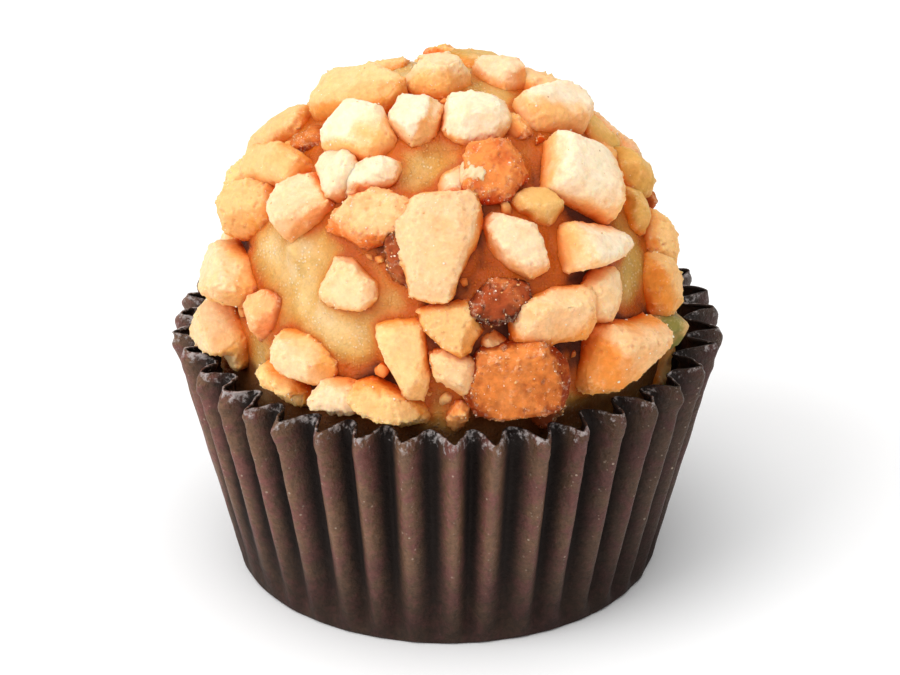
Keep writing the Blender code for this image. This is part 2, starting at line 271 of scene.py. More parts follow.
class Graph:
    """The node tree of one material."""

    # Where a speck's soft edge starts, in shares of its radius
    SPECK_EDGE = 0.6
    # The numbers of a Mix node's colour sockets
    MIX_FIRST, MIX_SECOND, MIX_RESULT = 6, 7, 2

    def __init__(self, name: str) -> None:
        """Starts an empty material of that name.

        Args:
            name: The material's name.
        """
        self.material = bpy.data.materials.new(name)
        self.material.use_nodes = True
        self.tree = self.material.node_tree
        self.tree.nodes.clear()
        self.place = self.node("ShaderNodeTexCoord", output="Object")

    def node(
        self,
        kind: str,
        settings: dict[str, Any] | None = None,
        inputs: dict[int | str, Any] | None = None,
        output: int | str = 0,
    ) -> Value:
        """Adds any node.

        Args:
            kind: The node's type.
            settings: Its own settings, set first.
            inputs: What its sockets hold or are linked to, by name or number.
            output: Which of its outputs is wanted.

        Returns:
            That output.
        """
        node = self.tree.nodes.new(kind)
        for name, setting in (settings or {}).items():
            setattr(node, name, setting)
        for name, value in (inputs or {}).items():
            socket = node.inputs[name]
            if isinstance(value, Value):
                self.tree.links.new(value.socket, socket)
            elif isinstance(value, tuple) and socket.type == "RGBA":
                socket.default_value = (*value, 1.0)
            else:
                socket.default_value = value
        return Value(self, node.outputs[output]) if len(node.outputs) else Value(self, None)

    def maths(self, operation: str, *values: Number) -> Value:
        """One step of arithmetic on its values."""
        return self.node("ShaderNodeMath", {"operation": operation}, dict(enumerate(values)))

    def rise(self, value: Value, low: float, high: float) -> Value:
        """0 below low, 1 above high, and a smooth rise between."""
        settings = {"interpolation_type": "SMOOTHSTEP"}
        return self.node("ShaderNodeMapRange", settings, {0: value, 1: low, 2: high, 3: 0.0, 4: 1.0})

    @staticmethod
    def uneven(value: Number, noise: Value, share: float) -> Value:
        """A value made uneven by some noise from 0 to 1, so that its mean stays where it is."""
        return value + share * (noise - 0.5)

    def attribute(self, name: str, output: str = "Fac") -> Value:
        """A number, or with the output "Color" a colour, that the mesh holds at each point."""
        return self.node("ShaderNodeAttribute", {"attribute_name": name}, output=output)

    def noise(self, clouds: Clouds) -> Value:
        """Cloudy noise from 0 to 1."""
        inputs = {"Scale": 1 / clouds.size, "Detail": clouds.detail, "Roughness": clouds.rough}
        return self.node("ShaderNodeTexNoise", {}, {"Vector": self.place, **inputs})

    def cells(self, size: float, output: str) -> Value:
        """Scattered cells so far apart: the "Distance" to the nearest one's middle, or its own "Color"."""
        return self.node("ShaderNodeTexVoronoi", {}, {"Vector": self.place, "Scale": 1 / size}, output)

    def specks(self, specks: Specks) -> Value:
        """Scattered round specks.

        Args:
            specks: Their sizes and how many there are.

        Returns:
            Their mask, 1 inside and 0 outside.
        """
        distance = self.cells(specks.size, "Distance")
        near = 1 - self.rise(distance, specks.radius * self.SPECK_EDGE, specks.radius)
        lot = self.node("ShaderNodeSeparateColor", {}, {0: self.cells(specks.size, "Color")})
        return near * self.maths("LESS_THAN", lot, specks.share)

    def blend(self, share: Number, first: Any, second: Any, way: str = "MIX") -> Value:
        """Mixes two colours.

        Args:
            share: How much of the second shows.
            first: A colour.
            second: Another.
            way: How they are mixed.

        Returns:
            The mixed colour.
        """
        settings = {"data_type": "RGBA", "blend_type": way}
        inputs = {0: share, self.MIX_FIRST: first, self.MIX_SECOND: second}
        return self.node("ShaderNodeMix", settings, inputs, self.MIX_RESULT)

    def tint(self, share: Number, base: Value, shade: Colour) -> Value:
        """A colour multiplied, by that share, with a shade."""
        return self.blend(share, base, shade, "MULTIPLY")

    def brighten(self, base: Value, amount: Value) -> Value:
        """A colour times a number that varies over the surface."""
        return self.node("ShaderNodeVectorMath", {"operation": "SCALE"}, {0: base, "Scale": amount})

    def bump(self, height: Value, depth: float, before: Value | None = None) -> Value:
        """A bumped normal.

        Args:
            height: The height over the surface, from 0 to 1.
            depth: What a height of 1 is, in metres.
            before: A bump to add to.

        Returns:
            The normal.
        """
        inputs: dict[int | str, Any] = {"Height": height, "Distance": depth, "Strength": 1.0}
        if before is not None:
            inputs["Normal"] = before
        return self.node("ShaderNodeBump", {}, inputs)

    def finish(self, inputs: dict[int | str, Any]) -> bpy.types.Material:
        """Ends the graph in a Principled shader.

        Args:
            inputs: What its sockets hold or are linked to.

        Returns:
            The material.
        """
        shader = self.node("ShaderNodeBsdfPrincipled", {}, inputs)
        self.node("ShaderNodeOutputMaterial", {}, {"Surface": shader})
        return self.material


class SoftInside(NamedTuple):
    """How light goes into something soft: how much, how far for red, green and blue, and their scale."""

    weight: float
    radius: Triple
    scale: float

    def inputs(self) -> dict[int | str, Any]:
        """What the shader's sockets hold for it."""
        return {
            "Subsurface Weight": self.weight,
            "Subsurface Radius": self.radius,
            "Subsurface Scale": self.scale,
        }


class Surface(NamedTuple):
    """A mesh as arrays: its points, its four- and three-cornered faces, and what it holds at each point."""

    points: np.ndarray
    quads: np.ndarray
    triangles: np.ndarray
    values: dict[str, np.ndarray]


NO_FACES = np.zeros((0, 3), int)
NO_QUADS = np.zeros((0, 4), int)


def point_normals(points: np.ndarray, quads: np.ndarray) -> np.ndarray:
    """The outward direction at each point of a mesh of four-cornered faces.

    Args:
        points: The mesh's points.
        quads: Its faces.

    Returns:
        The directions, one row each.
    """
    first, second, third, fourth = (points[quads[:, i]] for i in range(4))
    faces = np.repeat(np.cross(third - first, fourth - second), 4, axis=0)
    corners = quads.ravel()
    total = np.stack([np.bincount(corners, faces[:, axis], len(points)) for axis in range(3)], axis=1)
    return total / np.maximum(np.linalg.norm(total, axis=1, keepdims=True), TINY)


def smoothed(points: np.ndarray, quads: np.ndarray, rounds: int) -> np.ndarray:
    """The points after each has moved, so many times, half way to the middle of its neighbours.

    Args:
        points: The mesh's points.
        quads: Its faces.
        rounds: How many times they move.

    Returns:
        The points where they end.
    """
    here = quads.ravel()
    after = np.roll(quads, -1, axis=1).ravel()
    start, end = np.concatenate([here, after]), np.concatenate([after, here])
    count = np.bincount(start, minlength=len(points))[:, None]
    for _ in range(rounds):
        total = np.stack([np.bincount(start, points[end, axis], len(points)) for axis in range(3)], axis=1)
        points = (points + total / count) / 2
    return points


def round_lump(rounds: int) -> tuple[np.ndarray, np.ndarray]:
    """A round lump of radius 1.

    Args:
        rounds: How many times its faces are divided.

    Returns:
        Its points and its triangles.
    """
    shape = bmesh.new()
    bmesh.ops.create_icosphere(shape, subdivisions=rounds, radius=1.0)
    points = np.array([vertex.co for vertex in shape.verts])
    faces = np.array([[vertex.index for vertex in face.verts] for face in shape.faces])
    shape.free()
    return points, faces


def joined(surfaces: list[Surface]) -> Surface:
    """Several surfaces as one.

    Args:
        surfaces: The surfaces, which all hold the same values.

    Returns:
        One surface.
    """
    starts = np.cumsum([0] + [len(surface.points) for surface in surfaces[:-1]])
    names = surfaces[0].values
    return Surface(
        np.concatenate([surface.points for surface in surfaces]),
        np.concatenate([surface.quads + start for surface, start in zip(surfaces, starts)]),
        np.concatenate([surface.triangles + start for surface, start in zip(surfaces, starts)]),
        {name: np.concatenate([surface.values[name] for surface in surfaces]) for name in names},
    )


def linked(name: str, data: bpy.types.ID) -> bpy.types.Object:
    """A new object of that name, put into the scene.

    Args:
        name: Its name.
        data: Its mesh, camera or light.

    Returns:
        The object.
    """
    item = bpy.data.objects.new(name, data)
    bpy.context.scene.collection.objects.link(item)
    return item


def helper(name: str, shape: bmesh.types.BMesh) -> bpy.types.Object:
    """A helper object with a shape as its mesh, turned outwards.

    Args:
        name: Its name.
        shape: The shape, which is used up.

    Returns:
        The object.
    """
    bmesh.ops.recalc_face_normals(shape, faces=shape.faces)
    mesh = bpy.data.meshes.new(name)
    shape.to_mesh(mesh)
    shape.free()
    return linked(name, mesh)


def new_piece(
    name: str,
    surface: Surface,
    material: bpy.types.Material,
    node: str = SWEET_NODE,
) -> bpy.types.Object:
    """Adds a piece to the scene, riding on the body.

    Args:
        name: The piece's name.
        surface: Its mesh, in metres.
        material: Its finish.
        node: The CAD node that it stands for, wholly or in part.

    Returns:
        The piece.
    """
    mesh = bpy.data.meshes.new(name)
    mesh.vertices.add(len(surface.points))
    mesh.vertices.foreach_set("co", surface.points.astype(np.float32).ravel())
    corners = np.concatenate([surface.quads.ravel(), surface.triangles.ravel()]).astype(np.int32)
    sizes = np.repeat([4, 3], [len(surface.quads), len(surface.triangles)])
    mesh.loops.add(len(corners))
    mesh.loops.foreach_set("vertex_index", corners)
    mesh.polygons.add(len(sizes))
    mesh.polygons.foreach_set("loop_start", (np.cumsum(sizes) - sizes).astype(np.int32))
    mesh.polygons.foreach_set("use_smooth", np.ones(len(sizes), bool))
    mesh.update(calc_edges=True)
    for key, values in surface.values.items():
        if values.ndim == 1:
            held = mesh.attributes.new(key, "FLOAT", "POINT")
            held.data.foreach_set("value", values.astype(np.float32))
        else:
            held = mesh.attributes.new(key, "FLOAT_COLOR", "POINT")
            full = np.concatenate([values, np.ones((len(values), 1))], axis=1)
            held.data.foreach_set("color", full.astype(np.float32).ravel())
    mesh.validate()
    piece = linked(name, mesh)
    mesh.materials.append(material)
    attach(piece, BODY)
    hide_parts(node)
    log.info("%s: %d points, %d faces", name, len(mesh.vertices), len(mesh.polygons))
    return piece


def turn_outward(piece: bpy.types.Object) -> None:
    """Turns the faces of a closed piece so that they all look outwards.

    Args:
        piece: The piece.
    """
    shape = bmesh.new()
    shape.from_mesh(piece.data)
    bmesh.ops.recalc_face_normals(shape, faces=shape.faces)
    shape.to_mesh(piece.data)
    shape.free()


def ring_faces(rows: int, columns: int) -> np.ndarray:
    """The faces of a grid of points that closes round on itself, row after row.

    Args:
        rows: How many rings of points it has.
        columns: How many points a ring has.

    Returns:
        The four corners of each face.
    """
    row, column = np.meshgrid(np.arange(rows - 1), np.arange(columns), indexing="ij")
    after = (column + 1) % columns
    here, below = row * columns, (row + 1) * columns
    corners = (here + column, here + after, below + after, below + column)
    return np.stack([corner.ravel() for corner in corners], axis=1)


def cap_faces(ring_start: int, columns: int, pole: int) -> np.ndarray:
    """The triangles from a ring of points to one point.

    Args:
        ring_start: The number of the ring's first point.
        columns: How many points it has.
        pole: The number of the one point.

    Returns:
        The three corners of each triangle.
    """
    column = np.arange(columns)
    after = (column + 1) % columns
    return np.stack([ring_start + column, ring_start + after, np.full(columns, pole)], axis=1)


@dataclass(frozen=True)
class PaperFinish:
    """Dark brown greaseproof paper, with painted shade that turns its grooves nearly black and painted light
    on its ridge crests, dust and painted glints on its ridges, a worn rim with painted glints, and painted
    shade on its right side.
    """

    # groove is a painted shade colour: the near-black that the paper turns to down in each groove.
    groove: Colour = colour(30, 21, 17)
    ridge: Colour = colour(120, 87, 64)
    plum: Colour = colour(120, 74, 66)
    # edge is the pale colour of the rubbed rim, which also serves for its painted glints.
    edge: Colour = colour(196, 188, 186)
    dust: Colour = colour(196, 176, 156)
    clouds: Clouds = Clouds(2.2 * MM, 3)
    patches: Clouds = Clouds(0.7 * MM, 3, 0.65)
    fibres: Clouds = Clouds(0.26 * MM, 3, 0.65)
    creases: Clouds = Clouds(0.55 * MM, 4, 0.65)
    coarse_dust: Specks = Specks(0.9 * MM, 0.13, 0.6)
    fine_dust: Specks = Specks(0.42 * MM, 0.2, 0.4)
    plum_rise: Span = (0.38, 0.66)
    crest_light_rise: Span = (0.12, 1.12)
    dust_rise: Span = (0.5, 0.95)
    rim_wear_and_glint_rise: Span = (0.8, 1.5)
    dust_share: float = 0.5
    rim_wear_and_glint_share: float = 0.75
    painted_right_shade: float = 0.62
    roughness: float = 0.5
    specular: float = 0.24
    fibre_depth: float = 0.06 * MM
    patch_depth: float = 0.16 * MM
    crease_depth: float = 0.4 * MM

    def material(self) -> bpy.types.Material:
        """The finish as a material."""
        graph = Graph("dark paper")
        ridge, rim, right = (graph.attribute(name) for name in ("ridge", "rim", "right"))
        clouds, patches = graph.noise(self.clouds), graph.noise(self.patches)
        fibres, creases = graph.noise(self.fibres), graph.noise(self.creases)
        plum = graph.rise(graph.uneven(clouds, patches, 0.7), *self.plum_rise)
        base = graph.blend(plum, self.ridge, self.plum)
        light = 0.05 + 0.7 * patches + 1.1 * fibres
        # Painted shade: the paper darkens towards its right side.
        base = graph.brighten(base, light * (1 - self.painted_right_shade * right))
        # Painted light and shade: the paper keeps its brown on the ridge crests and turns to the groove
        # colour down each groove.
        raised = graph.rise(graph.uneven(ridge, patches, 0.3), *self.crest_light_rise)
        base = graph.blend(raised, self.groove, base)
        # Pale dust specks, kept to the ridge crests, where they also stand in for painted glints.
        dust = graph.specks(self.coarse_dust) + 0.5 * graph.specks(self.fine_dust)
        base = graph.blend(dust * graph.rise(ridge, *self.dust_rise) * self.dust_share, base, self.dust)
        # Wear and painted glints: a pale rubbed edge with scattered glints along the rim, fewer on the right
        # side.
        worn = graph.rise(graph.uneven(rim - 0.25 * right, creases, 3.6), *self.rim_wear_and_glint_rise)
        base = graph.blend(worn * self.rim_wear_and_glint_share, base, self.edge)
        normal = graph.bump(fibres, self.fibre_depth)
        normal = graph.bump(patches, self.patch_depth, normal)
        normal = graph.bump(creases * rim, self.crease_depth, normal)
        roughness = graph.uneven(self.roughness, clouds, 0.2) - 0.2 * rim
        return graph.finish(
            {
                "Base Color": base,
                "Roughness": roughness + 0.35 * graph.rise(ridge, 0.8, 0.2),
                "Normal": normal,
                "Specular IOR Level": self.specular,
            }
        )


class Press(NamedTuple):
    """Where the wall is pressed: degrees round from the front, to the right, how wide, and how strongly."""

    around: float
    width: float
    share: float = 1.0

    def at(self, around: np.ndarray) -> np.ndarray:
        """How strongly the wall is pressed at each bearing, in degrees."""
        return self.share * hump(around, self.around, self.width)


@dataclass(frozen=True)
class PaperCase:
    """The pleated paper case: one sheet pressed into flutes, a little crumpled at its rim."""

    base_radius: float = 15.6 * MM
    rim_radius: float = 20.5 * MM
    height: float = 18.8 * MM
    corner: float = 0.6 * MM
    thickness: float = 0.2 * MM
    flutes: int = 38
    flute_depth: float = 2.4 * MM
    start_share: float = 0.3
    fade_height: float = 1.6 * MM
    ridge_rounding: float = 0.78
    rim_rounding: float = 1.05
    groove_drop: float = 0.55 * MM
    groove_softness: float = 0.006
    front_bearing: float = math.radians(1.3)
    flute_unevenness: float = 0.12
    depth_unevenness: float = 0.08
    ridge_inset: float = 0.3 * MM
    edge_room: float = 0.1 * MM
    flattened: Press = Press(-66, 24)
    flattening: float = 0.8
    crushed: tuple[Press, ...] = (Press(-47, 13), Press(28, 9, 0.4))
    crush_depth: float = 0.35 * MM
    broad_dents: float = 0.14 * MM
    fine_dents: float = 0.13 * MM
    curl: float = 0.6 * MM
    flare: float = 0.12 * MM
    edge_wave: float = 0.18 * MM
    edge_inset: float = 0.1 * MM
    broad_dent_size: float = 3.2 * MM
    fine_dent_size: float = 1.0 * MM
    curl_size: float = 2.6 * MM
    crush_size: float = 1.7 * MM
    rim_wave_size: float = 2.8 * MM
    rim_wave: float = 0.24 * MM
    rim_drop: float = 0.12 * MM
    rim_wear_and_glint_height: float = 2.0 * MM
    edge_wear_and_glint_height: float = 0.35 * MM
    foot_raised: float = 0.36
    handling_seed: int = 5
    columns_per_flute: int = 22
    wall_rows: int = 46
    wall_crowding: float = 1.35
    bend_rows: int = 4
    base_rows: int = 6
    middle_share: float = 0.05
    finish: PaperFinish = PaperFinish()

    def ridges(self) -> np.ndarray:
        """For each flute, one row: its ridge's bearing in turns and inset, and the depth of its groove."""
        draw = random.Random(self.flutes)
        rows = []
        for index in range(self.flutes):
            bearing = (index + self.flute_unevenness * draw.uniform(-1, 1)) / self.flutes
            inset = self.ridge_inset * draw.random() ** 2
            depth = self.flute_depth * (1 + self.depth_unevenness * draw.uniform(-1, 1))
            rows.append((bearing, inset, depth))
        return np.array(rows)

    def profile(self) -> np.ndarray:
        """The plain sheet's radius and height, from the rim down the wall and in along the base."""
        slope = (self.rim_radius - self.base_radius) / self.height
        share = np.linspace(0, 1, self.wall_rows) ** self.wall_crowding
        heights = self.height - (self.height - self.corner) * share
        wall = np.stack([self.base_radius + slope * heights, heights], axis=1)
        turn = np.linspace(0, 1, self.bend_rows + 1)[1:, None]
        foot = np.array([self.base_radius, 0.0])
        inside = np.array([self.base_radius - self.corner / 2, 0.0])
        bend = (1 - turn) ** 2 * wall[-1] + 2 * turn * (1 - turn) * foot + turn**2 * inside
        radii = np.linspace(inside[0], self.middle_share * self.base_radius, self.base_rows + 1)[1:]
        base = np.stack([radii, np.zeros(self.base_rows)], axis=1)
        return np.concatenate([wall, bend, base])

    def fluted(self, flute: np.ndarray, radius: np.ndarray, height: np.ndarray) -> np.ndarray:
        """Where points of the plain sheet go once it is pleated.

        Args:
            flute: How many flutes round from the front each point lies.
            radius: Its plain radius.
            height: Its plain height.

        Returns:
            The points, one row each.
        """
        rows = self.ridges()
        index = np.floor(flute).astype(int) % self.flutes
        share = flute - np.floor(flute)
        here, inset, depth = rows[index].T
        after, next_inset, _ = rows[(index + 1) % self.flutes].T
        after = after + (index == self.flutes - 1)
        bearing = self.front_bearing + math.tau * (here + (after - here) * share)
        height_share = height / self.height
        wave = self.wave(share, height_share)
        rim_inset = inset + (next_inset - inset) * share + depth * (1 - wave)
        fade = np.minimum(1.0, height / self.fade_height)
        pressed = self.flattened.at(np.degrees(np.angle(np.exp(1j * bearing))))
        start = self.start_share * (1 - self.flattening * pressed)
        growth = (start + (1 - start) * height_share ** (1 + pressed)) * fade
        lean = self.rim_radius - self.base_radius
        slant = math.hypot(self.height, lean)
        rim_height = np.sqrt(slant**2 - (lean - rim_inset) ** 2)
        lifted = height * (1 + (rim_height / self.height - 1) * height_share)
        lifted = lifted - self.groove_drop * (1 - wave) * height_share**8
        pulled = radius - rim_inset * growth
        return np.stack([pulled * np.sin(bearing), -pulled * np.cos(bearing), lifted], axis=1)

    def wave(self, share: np.ndarray, height_share: np.ndarray) -> np.ndarray:
        """The flutes' section: 1 on a ridge and 0 in a groove, with rounder folds towards the rim.

        Args:
            share: How far each point lies from its ridge to the next, from 0 to 1.
            height_share: How high up the wall it is, from 0 to 1.

        Returns:
            The section's height at each point.
        """
        swing = (1 + np.cos(math.tau * share)) / 2
        soft = self.groove_softness
        power = self.ridge_rounding + (self.rim_rounding - self.ridge_rounding) * height_share**6
        return ((swing + soft) ** power - soft**power) / ((1 + soft) ** power - soft**power)

    def crumpled(self, points: np.ndarray, share: np.ndarray) -> np.ndarray:
        """The pleated sheet with the small dents and the uneven rim of handled paper.

        Args:
            points: The pleated sheet.
            share: How high up the wall each point is, from 0 to 1.

        Returns:
            The points after handling.
        """
        grain = Grain(self.handling_seed)
        radius = np.hypot(points[:, 0], points[:, 1])
        bearing = np.degrees(np.arctan2(points[:, 0], -points[:, 1]))
        near_rim = share**5
        crushed = sum(press.at(bearing) for press in self.crushed)
        dent = self.broad_dents * grain.layers(points, self.broad_dent_size) * (0.35 + near_rim)
        crinkles = grain.layers(points, self.fine_dent_size)
        dent += self.fine_dents * crinkles * near_rim * (0.7 + 1.6 * crushed)
        curl = smooth_step(0.95, 1.01, share) * (0.8 + 0.6 * grain.lumps(points + 3, self.curl_size))
        dent += self.flare * smooth_step(0.86, 0.93, share) - self.curl * curl
        edge = self.edge_wave * grain.lumps(points, self.fine_dent_size) - self.edge_inset
        dent += edge * share**14
        folds = 0.5 + 0.5 * grain.lumps(points, self.crush_size)
        dent -= self.crush_depth * crushed * near_rim * folds
        limit = (self.rim_radius - self.edge_room) / np.maximum(radius, TINY)
        scale = np.minimum(1 + dent / np.maximum(radius, TINY), limit)
        wave = self.rim_wave * grain.layers(points + 9, self.rim_wave_size)
        drop = wave - self.rim_drop - self.crush_depth * crushed
        moved = points * scale[:, None]
        moved[:, 2] = points[:, 2] + drop * near_rim
        return moved

    def inward(self, outer: np.ndarray, columns: int) -> np.ndarray:
        """The direction through the paper, from its outer face, at each point.

        Args:
            outer: The outer face's points, ring after ring.
            columns: How many points a ring has.

        Returns:
            The directions, one row each.
        """
        grid = outer.reshape(-1, columns, 3)
        along = np.roll(grid, -1, axis=1) - np.roll(grid, 1, axis=1)
        ways = np.cross(along, np.gradient(grid, axis=0)).reshape(-1, 3)
        ways /= np.linalg.norm(ways, axis=1, keepdims=True)
        facing = np.sum(ways * (np.array([0.0, 0.0, self.height]) - outer), axis=1)
        return ways * np.sign(facing)[:, None]

    def build(self) -> bpy.types.Object:
        """The case as a piece: an outer and an inner face, joined along the rim's cut edge."""
        profile = self.profile()
        rows, columns = len(profile), self.flutes * self.columns_per_flute
        count = rows * columns
        flute = np.tile(np.arange(columns) / self.columns_per_flute, rows)
        radius, height = (np.repeat(profile[:, i], columns) for i in range(2))
        share = height / self.height
        outer = self.crumpled(self.fluted(flute, radius, height), share)
        inner = outer + self.inward(outer, columns) * self.thickness
        points = np.concatenate([outer, inner, [[0, 0, 0], [0, 0, self.thickness]]])
        rim = ring_faces(2, columns)
        rim[:, 2:] += count - columns
        faces = ring_faces(rows, columns)
        quads = np.concatenate([faces, faces[:, ::-1] + count, rim[:, ::-1]])
        outer_cap = cap_faces(count - columns, columns, 2 * count)
        inner_cap = cap_faces(2 * count - columns, columns, 2 * count + 1)
        # The band under the rim that gets wear and painted glints, brightest at the very edge.
        worn = smooth_step(self.height - self.rim_wear_and_glint_height, self.height, height)
        worn += 0.15 * smooth_step(self.height - self.edge_wear_and_glint_height, self.height, height)
        wave = (1 + np.cos(math.tau * flute)) / 2
        # How high on a flute each point lies, for the painted light on the crests and the painted shade in
        # the grooves; this fades towards the foot.
        raised = self.foot_raised + (wave**0.85 - self.foot_raised) * smooth_step(0.0, 0.6, share)
        ends = np.zeros(2)
        values = {
            "rim": np.concatenate([worn, 0.6 * worn, ends]),
            "ridge": np.concatenate([raised, (1 - wave) * 0.5, ends]),
            # How far to the right each point lies, for the painted shade and the sparser painted glints on
            # the right side.
            "right": smooth_step(0.0, 0.9, points[:, 0] / self.rim_radius),
        }
        surface = Surface(points, quads, np.concatenate([outer_cap, inner_cap[:, ::-1]]), values)
        piece = new_piece("paper_case_pleated", surface, self.finish.material(), CASE_NODE)
        turn_outward(piece)
        return piece

    def inner_radius(self, height: float) -> float:
        """How far out a nut piece may reach at a height, so that it stays clear of the grooves.

        Args:
            height: The height above the base.

        Returns:
            The radius there.
        """
        share = height / self.height
        deepest = self.flute_depth * (1 + self.depth_unevenness) + self.ridge_inset
        plain = self.base_radius + (self.rim_radius - self.base_radius) * share
        growth = self.start_share + (1 - self.start_share) * share
        return plain - deepest * growth - self.thickness - CASE_CLEARANCE


@dataclass(frozen=True)
class Ball:
    """The bare shape of the sweet: round above its widest ring, slumped out below it."""

    radius: float = 16.0 * MM
    middle: float = 21.0 * MM
    top: float = 38.0 * MM
    bottom: float = 0.6 * MM
    slump: float = 3.0
    slope_step: float = 0.05 * MM

    def radius_at(self, height: float) -> float:
        """Its radius at a height.

        Args:
            height: The height above the base.

        Returns:
            The radius there.
        """
        if height >= self.middle:
            share = (height - self.middle) / (self.top - self.middle)
            return self.radius * math.sqrt(max(0.0, 1 - share * share))
        share = (self.middle - height) / (self.middle - self.bottom)
        return self.radius * max(0.0, 1 - share**self.slump) ** (1 / self.slump)

    def height_down(self, down: float) -> float:
        """The height of the places so far down from its top.

        Args:
            down: Degrees down from the top.

        Returns:
            The height above the base.
        """
        rise = math.cos(math.radians(down))
        half = self.top - self.middle if rise >= 0 else self.middle - self.bottom
        return self.middle + half * rise

    def seat(self, around: float, down: float) -> Matrix:
        """A frame on its surface: X level and to the right, Y up the surface, Z outwards.

        Args:
            around: Degrees round from the front, to the right.
            down: Degrees down from the top.

        Returns:
            The frame, in metres.
        """
        height = self.height_down(down)
        run = self.radius_at(height - self.slope_step) - self.radius_at(height + self.slope_step)
        outward = Vector((2 * self.slope_step, 0, run)).normalized()
        bearing = math.radians(around)
        out = Vector((math.sin(bearing), -math.cos(bearing), 0))
        z_axis = (out * outward.x + Vector((0, 0, 1)) * outward.z).normalized()
        x_axis = Vector((math.cos(bearing), math.sin(bearing), 0))
        y_axis = z_axis.cross(x_axis)
        frame_there = Matrix((x_axis, y_axis, z_axis)).transposed().to_4x4()
        frame_there.translation = out * self.radius_at(height) + Vector((0, 0, height))
        return frame_there

    def shares(self, across: np.ndarray, up: np.ndarray) -> np.ndarray:
        """How large a ball of this shape is that each point lies on, in shares of this one.

        Args:
            across: Each point's distance from the upright axis, in shares of the radius.
            up: Its height over the middle, in metres.

        Returns:
            Those sizes: 1 on the surface, more outside it.
        """
        above = np.sqrt(across**2 + (up / (self.top - self.middle)) ** 2)
        low = np.abs(up) / (self.middle - self.bottom)
        below = (across**self.slump + low**self.slump) ** (1 / self.slump)
        return np.where(up >= 0, above, below)

    def reach(self, down: np.ndarray) -> np.ndarray:
        """How far its surface is from its middle, so many radians down from the top."""
        return 1 / self.shares(np.sin(down) / self.radius, np.cos(down))

    def height_over(self, points: np.ndarray) -> np.ndarray:
        """About how far each point lies outside its surface, in metres."""
        across = np.hypot(points[:, 0], points[:, 1]) / self.radius
        return (self.shares(across, points[:, 2] - self.middle) - 1) * self.radius


class Relief:
    """How high the coat of nuts stands in each direction from the sweet's middle, evened to show its gaps."""

    COLUMNS = 360
    ROWS = 180
    BLUR = 1.2 * MM
    BLUR_REACH = 3
    FULL_DEPTH = 1.5 * MM
    BARE_RISE = 0.15 * MM

    def __init__(self, ball: Ball, surfaces: list[Surface]) -> None:
        """Reads the heights of the surfaces over the ball.

        Args:
            ball: The bare sweet.
            surfaces: The nut pieces on it.
        """
        self.middle = np.array([0.0, 0.0, ball.middle])
        down = (np.arange(self.ROWS) + 0.5) * math.pi / self.ROWS
        bare = ball.reach(down)
        heights = np.repeat(bare[:, None], self.COLUMNS, axis=1)
        for surface in surfaces:
            row, column, radius = self._cells(surface.points)
            np.maximum.at(heights, (row, column), radius)
        self.stands = heights - bare[:, None]
        self.level = self._evened(heights, self.BLUR / (bare * np.sin(down)), ball.radius)

    def _cells(self, points: np.ndarray) -> tuple[np.ndarray, np.ndarray, np.ndarray]:
        """Where points lie in the table of heights.

        Args:
            points: The points, one row each.

        Returns:
            The row, the column and the radius of each.
        """
        away = points - self.middle
        radius = np.linalg.norm(away, axis=1)
        down = np.arccos(np.clip(away[:, 2] / radius, -1, 1))
        around = np.arctan2(away[:, 0], -away[:, 1]) / math.tau % 1
        row = np.minimum((down / math.pi * self.ROWS).astype(int), self.ROWS - 1)
        return row, (around * self.COLUMNS).astype(int) % self.COLUMNS, radius

    def _evened(self, heights: np.ndarray, spread: np.ndarray, radius: float) -> np.ndarray:
        """The heights blurred along each ring and then across the rings.

        Args:
            heights: A height for each ring and column.
            spread: The blur along each ring, in radians.
            radius: About how large the ball is.

        Returns:
            The even heights.
        """
        waves = np.fft.rfft(heights, axis=1)
        pace = np.arange(waves.shape[1])[None, :] * spread[:, None]
        heights = np.fft.irfft(waves * np.exp(-(pace**2) / 2), self.COLUMNS, axis=1)
        rows = self.BLUR / radius * self.ROWS / math.pi
        reach = math.ceil(self.BLUR_REACH * rows)
        beyond_top = np.roll(heights[:reach][::-1], self.COLUMNS // 2, axis=1)
        padded = np.concatenate([beyond_top, heights, np.repeat(heights[-1:], reach, axis=0)])
        steps = np.arange(2 * reach + 1)
        weights = np.exp(-(((steps - reach) / rows) ** 2) / 2)
        weights = weights / weights.sum()
        return sum(weight * padded[step : step + self.ROWS] for step, weight in zip(steps, weights))

    def bare(self, points: np.ndarray) -> np.ndarray:
        """Whether no nut piece stands in each point's direction."""
        row, column, _ = self._cells(points)
        return self.stands[row, column] < self.BARE_RISE

    def depth(self, points: np.ndarray) -> np.ndarray:
        """How deep each point lies: 1 at the bottom of a gap, 0 level with the coat, under 0 above it."""
        row, column, radius = self._cells(points)
        return np.clip((self.level[row, column] - radius) / self.FULL_DEPTH, -1, 1)


